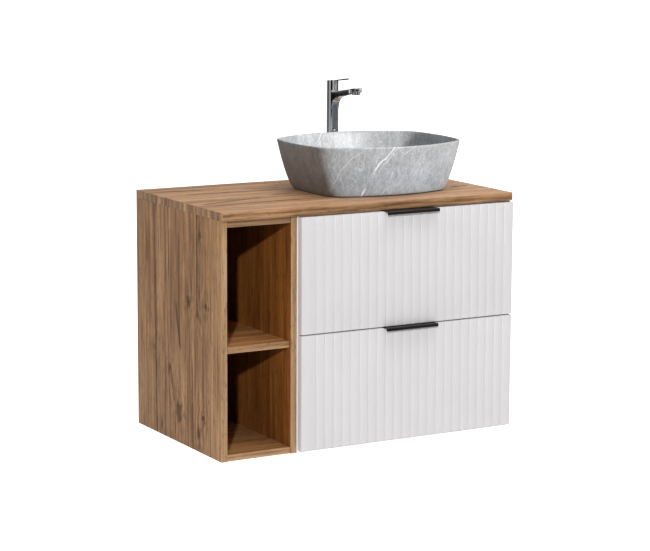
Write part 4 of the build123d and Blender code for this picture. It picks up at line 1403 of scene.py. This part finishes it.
@dataclass
class Basin:
    """The vessel basin: flared bowed walls, a thin round rim, a dished floor and a recess at the drain."""

    foot: Outline = Outline(0.166, 0.141, 0.035, 0.006, 0.046)
    rim: Outline = Outline(0.214, 0.188, 0.072, 0.014, 0.060)
    height: float = 0.123
    belly: float = 0.65
    drain_r: float = 23 * MM
    recess_r: float = 33.5 * MM
    recess_z: float = 11.5 * MM
    lip: float = 3.3 * MM
    thick: float = 7.2 * MM
    bead: float = 8 * MM
    quarter: int = 34
    shell: bpy.types.Object | None = None
    # height above the foot and depth behind the outer wall of each ring of the inner wall, mm
    wall: tuple[Pair, ...] = (
        (14, 96), (14.6, 80), (15.6, 66), (17.2, 52), (19.8, 40), (23.5, 29), (29, 20.5), (37, 15),
        (48, 11.6), (62, 9.6), (78, 8.6), (94, 8), (108, 7.5),
    )

    def angles(self) -> list[float]:
        """Angles of a quarter's corners.

        Returns:
            Rising angles in radians that lie evenly along the rim.
        """
        points = self.rim.reach(60)
        run = [0.0]
        for (x0, y0), (x1, y1) in zip(points, points[1:]):
            run.append(run[-1] + math.hypot(x1 - x0, y1 - y0))
        goals = [run[-1] * n / self.quarter for n in range(self.quarter + 1)]
        return [math.atan2(y, x) for x, y in along(points, run, goals)]

    def section(self, h: float) -> Outline:
        """The outer wall's outline at a height above the foot."""
        return self.foot.between(self.rim, (h / self.height) ** self.belly)

    def rings(self) -> list[tuple[object, float]]:
        """Every ring of the shell in turn, from the drain round the outside and back.

        Returns:
            Each ring's outline or radius, and its height above the foot.
        """
        top, lip, t, foot = self.height, self.lip, self.thick, self.foot
        rings: list[tuple[object, float]] = [(self.drain_r, 0.0), (70 * MM, 0.0), (foot.inset(4 * MM), 0.0)]
        rings += [(foot.inset(1.2 * MM), 0.0), (foot.inset(0.25 * MM), 0.4 * MM)]
        rings += [(self.section(h * MM), h * MM) for h in (1.4, 4, 9, 17, 28, 42, 58, 75, 92, 106, 114)]
        # over the rim: half a turn from the outer wall to the inner one
        for i in range(1, 8):
            turn = math.pi * i / 8
            rise, depth = lip * math.sin(turn), t / 2 * (1 - math.cos(turn))
            rings.append((self.section(top).inset(depth), top - lip + rise))
        rings.append((self.section(top - lip).inset(t), top - lip - 1.5 * MM))
        rings += [(self.section(h * MM).inset(d * MM), h * MM) for h, d in reversed(self.wall)]
        # over the floor and down into the recess
        r, z = self.recess_r, self.recess_z
        rings += [((self.wall_floor(), 0.5), 13.3 * MM), (r + 2.5 * MM, 12.8 * MM), (r + 0.7 * MM, 12.6 * MM)]
        rings += [(r, 12.1 * MM), (r, z + 0.5 * MM), (r - 0.8 * MM, z), (self.drain_r + 1 * MM, z)]
        return rings + [(self.drain_r, z - 1 * MM)]

    def wall_floor(self) -> Outline:
        """The outline where the floor begins."""
        h, d = self.wall[0]
        return self.section(h * MM).inset(d * MM)

    def ring_points(self, shape: object, angles: Sequence[float]) -> list[Pair]:
        """A ring's corners, all the way round.

        Args:
            shape: An outline, a radius, or an outline with the share of it left on the way to the recess.
            angles: The angles of a quarter's corners.

        Returns:
            The corners from +X round the basin.
        """
        circle = [(math.cos(a), math.sin(a)) for a in angles]
        if isinstance(shape, Outline):
            quarter = shape.at(angles)
        elif isinstance(shape, tuple):
            outline, share = shape
            r = self.recess_r
            quarter = [
                (share * x + (1 - share) * r * c, share * y + (1 - share) * r * s)
                for (x, y), (c, s) in zip(outline.at(angles), circle)
            ]
        else:
            quarter = [(shape * c, shape * s) for c, s in circle]
        left = [(-x, y) for x, y in reversed(quarter)][1:]
        half = quarter + left
        return half + [(x, -y) for x, y in reversed(half)][1:-1]

    def drawn(self, name: str, rings: Sequence[tuple[object, float]], base: float) -> Bench:
        """Draws a closed shell ring by ring, and closes its last ring onto its first.

        Args:
            name: The piece's name.
            rings: Each ring's outline or radius, and its height above the base.
            base: The height of the base.

        Returns:
            The shell, out of edit mode.
        """
        middle = middle_of("basin_seal")
        angles = self.angles()
        Bench.clear()
        bpy.ops.mesh.primitive_circle_add(
            vertices=4 * self.quarter, radius=self.drain_r, location=(middle.x, middle.y, base)
        )
        piece = Bench(name)
        mesh = piece.object.data
        mesh.attributes.new("corner", "INT", "POINT").data.foreach_set("value", range(4 * self.quarter))
        piece.edit()
        bpy.ops.mesh.select_all(action="SELECT")
        for number, (shape, height) in enumerate(rings):
            if number:
                bpy.ops.mesh.extrude_edges_move()
            points = self.ring_points(shape, angles)
            work = bmesh.from_edit_mesh(mesh)
            corner = work.verts.layers.int["corner"]
            for vert in work.verts:
                if vert.select:
                    x, y = points[vert[corner]]
                    vert.co = (middle.x + x, middle.y + y, base + height)
            bmesh.update_edit_mesh(mesh)
        bpy.ops.mesh.select_all(action="DESELECT")
        bpy.ops.mesh.select_non_manifold()
        bpy.ops.mesh.bridge_edge_loops()
        piece.seal()
        piece.clear()
        mesh.attributes.remove(mesh.attributes["corner"])
        return piece

    def make(self) -> None:
        """Builds the glazed shell and the dark bead that it stands on."""
        low, high = corners("basin_seal")
        piece = self.drawn("basin_shell", self.rings(), high.z)
        piece.modifier("SUBSURF", levels=1, render_levels=1)
        piece.paint(STONE)
        piece.smooth(60)
        self.shell = piece.hand_over("cabinet", "stone_grey", "basin")
        deep = high.z - low.z
        section = [(self.bead, 0.0), (0.9 * MM, 0.0), (0.2 * MM, 0.35 * deep), (1.2 * MM, deep)]
        section.append((self.bead, deep))
        bead = self.drawn("basin_bead", [(self.foot.inset(d), h) for d, h in section], low.z)
        bead.paint(SEAL)
        bead.smooth(40)
        bead.hand_over("cabinet", "seal", "basin_seal")


# ---------------------------------------------------------------- waste and trap


@dataclass
class Waste:
    """The pop-up waste: flange in the basin, plug over it, and the trap below."""

    sides: int = 72

    def make(self) -> None:
        """Builds the waste and plates the trap."""
        self.flange()
        self.plug()
        dress(CHROME, "waste_nut", "trap_tailpipe", "trap_bottle", "trap_cup", "trap_nuts")
        dress(CHROME, "trap_outlet_pipe", "trap_rosette")

    def flange(self) -> None:
        """The flange, its throat and the threaded tail below it."""
        low, high = corners("waste_body")
        spot = middle_of("waste_plug")
        top = high.z - low.z
        r, bore, tail = 32.5 * MM, 17 * MM, 21 * MM
        profile = [(tail, 0.0), (tail, top - 3 * MM), (r, top - 3 * MM), (r, top - 1.2 * MM)]
        profile += arc(1.2 * MM, r - 1.2 * MM, top - 1.2 * MM, 20, 90, 3)
        profile += [(bore + 6 * MM, top), (bore + 2 * MM, top - 1.2 * MM), (bore, top - 3 * MM), (bore, 0.0)]
        piece = Bench.turned("waste_flange", profile, (spot.x, spot.y, low.z), self.sides)
        piece.paint(CHROME)
        piece.smooth(30)
        piece.hand_over("cabinet", "chrome", "waste_body")

    def plug(self) -> None:
        """The plug: a shallow dome with a rolled edge on its stem."""
        low, high = corners("waste_plug")
        spot = middle_of("waste_plug")
        top = high.z - low.z
        r, stem = 30 * MM, 5 * MM
        profile = [(0.0, 0.0), (stem, 0.0), (stem, top - 5 * MM), (r - 1 * MM, top - 5 * MM)]
        profile += [(r, top - 4.2 * MM), (r, top - 2.8 * MM)]
        profile += arc(2.2 * MM, r - 2.2 * MM, top - 2.8 * MM, 20, 82, 5)
        profile += [(22 * MM, top - 0.3 * MM), (12 * MM, top - 0.1 * MM), (0.0, top)]
        piece = Bench.turned("waste_plug_cap", profile, (spot.x, spot.y, low.z), self.sides)
        piece.paint(CHROME)
        piece.smooth(30)
        piece.hand_over("waste_plug", "chrome", "waste_plug")


# ---------------------------------------------------------------- mixer


@dataclass
class Mixer:
    """The tall mixer: column and spout, aerator, and the lever with its cap; heights are over the worktop."""

    column_r: float = 15 * MM
    pivot: float = 212 * MM
    spout_w: float = 22 * MM
    rise: float = math.tan(math.radians(8.6))
    spout_top: float = 226 * MM
    bore_r: float = 13 * MM
    bore_floor: float = 186 * MM
    nose_out: float = 118 * MM
    nose_z: float = 225 * MM
    nose_r: float = 12 * MM
    ring_r: float = 10.5 * MM
    mesh_r: float = 6.4 * MM
    cap_back: float = 252.2 * MM
    cap_front: float = 255.7 * MM
    cap_dish: float = 22.2 * MM
    blade_half: float = 4.5 * MM
    sides: int = 72
    # distance out from the axis and height of the spout's underside, mm
    underside: tuple[Pair, ...] = (
        (10, 176), (14, 191), (16.5, 197.5), (20, 203), (25, 207.8), (32, 211.8), (42, 215.2), (56, 218.6),
        (75, 222.4), (100, 227.6), (124, 232.2), (131, 233.5),
    )

    def axis(self) -> Vector:
        """The mixer's axis where it meets the worktop."""
        spot = middle_of("tap_stem_carrier")
        return Vector((spot.x, spot.y, corners("worktop")[1].z))

    def make(self) -> None:
        """Builds the mixer."""
        self.column_and_spout()
        self.aerator()
        self.lever()
        dress(SEAL, "tap_base_seal")
        dress(CARTRIDGE, "tap_cartridge", "tap_stem_carrier")
        dress(CHROME, "tap_cartridge_ring")
        dress(ZINC, "tap_stem", "tap_stud", "tap_clamp_plate", "tap_nut")

    def column_and_spout(self) -> None:
        """The one-piece casting."""
        c = self.axis()
        r, dome = self.column_r, 21.6 * MM
        shoulder = self.pivot + math.sqrt(dome**2 - r**2)
        flange = 22.5 * MM
        shank, deep = 16 * MM, -16 * MM
        profile = [(0.0, deep), (shank, deep), (shank, 1 * MM), (flange, 1 * MM), (flange, 5 * MM)]
        profile += arc(2 * MM, flange - 2 * MM, 5 * MM, 15, 90, 5)
        profile += [(r + 1 * MM, 7 * MM), (r + 0.25 * MM, 7.25 * MM), (r, 8 * MM), (r, shoulder - 0.5 * MM)]
        profile += [(r - 0.4 * MM, shoulder), (self.bore_r, self.pivot + math.sqrt(dome**2 - self.bore_r**2))]
        profile += [(self.bore_r, self.bore_floor), (0.0, self.bore_floor)]
        piece = Bench.turned("mixer_casting", profile, tuple(c), self.sides)
        nose_y, nose_z = c.y - self.nose_out, c.z + self.nose_z
        nose = Bench.rod("nose", self.nose_r, (c.x, nose_y, nose_z + 4 * MM), 9 * MM)
        nose.carve([self.spout(c)], "UNION")
        nose.carve([Bench.rod("nose_bore", 9 * MM, (c.x, nose_y, nose_z - 1 * MM), 10 * MM)])
        nose.carve([Bench.rod("bore", self.bore_r + 0.5 * MM, (c.x, c.y, c.z + self.bore_floor), 60 * MM)])
        piece.carve([nose], "UNION")
        piece.edit()
        piece.seal()
        piece.soften(0.7 * MM, 3, 32.0)
        piece.paint(CHROME)
        piece.smooth(32)
        piece.hand_over("cabinet", "chrome", "tap_body")

    def spout(self, c: Vector) -> Bench:
        """The spout, drawn from inside the column out to its rounded tip.

        Args:
            c: The mixer's axis on the worktop.

        Returns:
            The spout as a closed solid.
        """
        stations = [
            (c.y - out * MM, c.z + under * MM, c.z + self.spout_top + (out * MM - self.column_r) * self.rise)
            for out, under in self.underside
        ]
        piece = Bench.bar("spout", c.x, self.spout_w / 2, stations)
        tip = stations[-1][0]
        piece.pick(lambda middle, way: abs(middle.y - tip) < TOUCH, edges=True)
        bpy.ops.mesh.bevel(offset=2.4 * MM, segments=4, affect="EDGES")
        piece.seal()
        piece.clear()
        return piece

    def aerator(self) -> None:
        """The aerator's knurled ring and its mesh disc."""
        c = self.axis()
        spot = Vector((c.x, c.y - self.nose_out, c.z + self.nose_z))
        r, neck, dip = self.ring_r, 8.9 * MM, 6.5 * MM
        profile = [(0.0, 1.5 * MM), (dip, 1.5 * MM), (dip, 0.3 * MM), (7 * MM, 0.0), (r - 0.5 * MM, 0.0)]
        profile += [(r, 0.5 * MM), (r, 3.4 * MM), (r - 0.4 * MM, 3.8 * MM), (neck, 3.9 * MM), (neck, 8 * MM)]
        piece = Bench.turned("aerator_ring", profile + [(0.0, 8 * MM)], tuple(spot), 48)
        piece.paint(CHROME)
        face, reach = spot.z + 3 * MM, self.mesh_r
        piece.paint(AERATOR_MESH, lambda middle, way: (middle - spot).xy.length < reach and middle.z < face)
        piece.smooth(30)
        piece.hand_over("cabinet", "chrome", "tap_aerator")

    def lever(self) -> None:
        """The cap over the cartridge and the flat lever that grows out of it."""
        c = self.axis()
        r, back, front, dish = self.column_r, self.cap_back, self.cap_front, self.cap_dish
        reach = c.y - corners("tap_handle")[0].y
        slope = (front - back) / (2 * r)
        edge = self.pivot + math.sqrt(dish**2 - r**2)
        cap = Bench.rod("mixer_lever", r, (c.x, c.y, c.z + edge), 34 * MM, self.sides)
        cap.edit()
        cap.pick(lambda middle, way: way.z < -0.9)
        height = edge
        for ring in (0.75 * r, 0.5 * r, 0.25 * r):
            bpy.ops.mesh.inset(thickness=0.25 * r)
            rise = self.pivot + math.sqrt(dish**2 - ring**2) - height
            bpy.ops.transform.translate(value=(0, 0, rise))
            height += rise
        bpy.ops.mesh.select_all(action="SELECT")
        crown = (c.x, c.y, c.z + (back + front) / 2)
        bpy.ops.mesh.bisect(plane_co=crown, plane_no=(0, slope, 1), clear_outer=True, use_fill=True)
        cap.clear()
        top = front + (reach - r) * slope
        # (out from the axis, underside, upper side)
        sections = (
            (2 * MM, back - 0.8 * MM, back + 1.3 * MM), (r, 252.9 * MM, front - 0.2 * MM),
            (reach - 8 * MM, 259.26 * MM, top), (reach, 260.17 * MM, top + 1 * MM),
        )
        stations = [(c.y - out, c.z + under, c.z + over) for out, under, over in sections]
        blade = Bench.bar("blade", c.x, self.blade_half, stations)
        blade.pick(lambda middle, way: abs(way.z) > 0.5 and middle.y < c.y - reach + 0.3 * MM, edges=True)
        bpy.ops.mesh.bevel(offset=2.4 * MM, segments=5, affect="EDGES")
        blade.seal()
        blade.clear()
        cap.carve([blade], "UNION")
        cap.soften(0.45 * MM, 3, 35.0)
        cap.paint(CHROME)
        cap.smooth(35)
        cap.hand_over("mixer_handle", "chrome", "tap_handle")


def main() -> None:
    """Builds the scene piece by piece."""
    logging.basicConfig(level=logging.INFO, format="%(message)s")
    Bench.clear()
    studio, basin = Studio(), Basin()
    studio.set_up()
    drawers = (Drawer("upper"), Drawer("lower"))
    for part in (ShelfUnit(), Worktop(), DrawerCase(), *drawers, basin, Waste(), Mixer()):
        part.make()
    studio.light_basin(basin.shell)


if __name__ == "__main__":
    main()
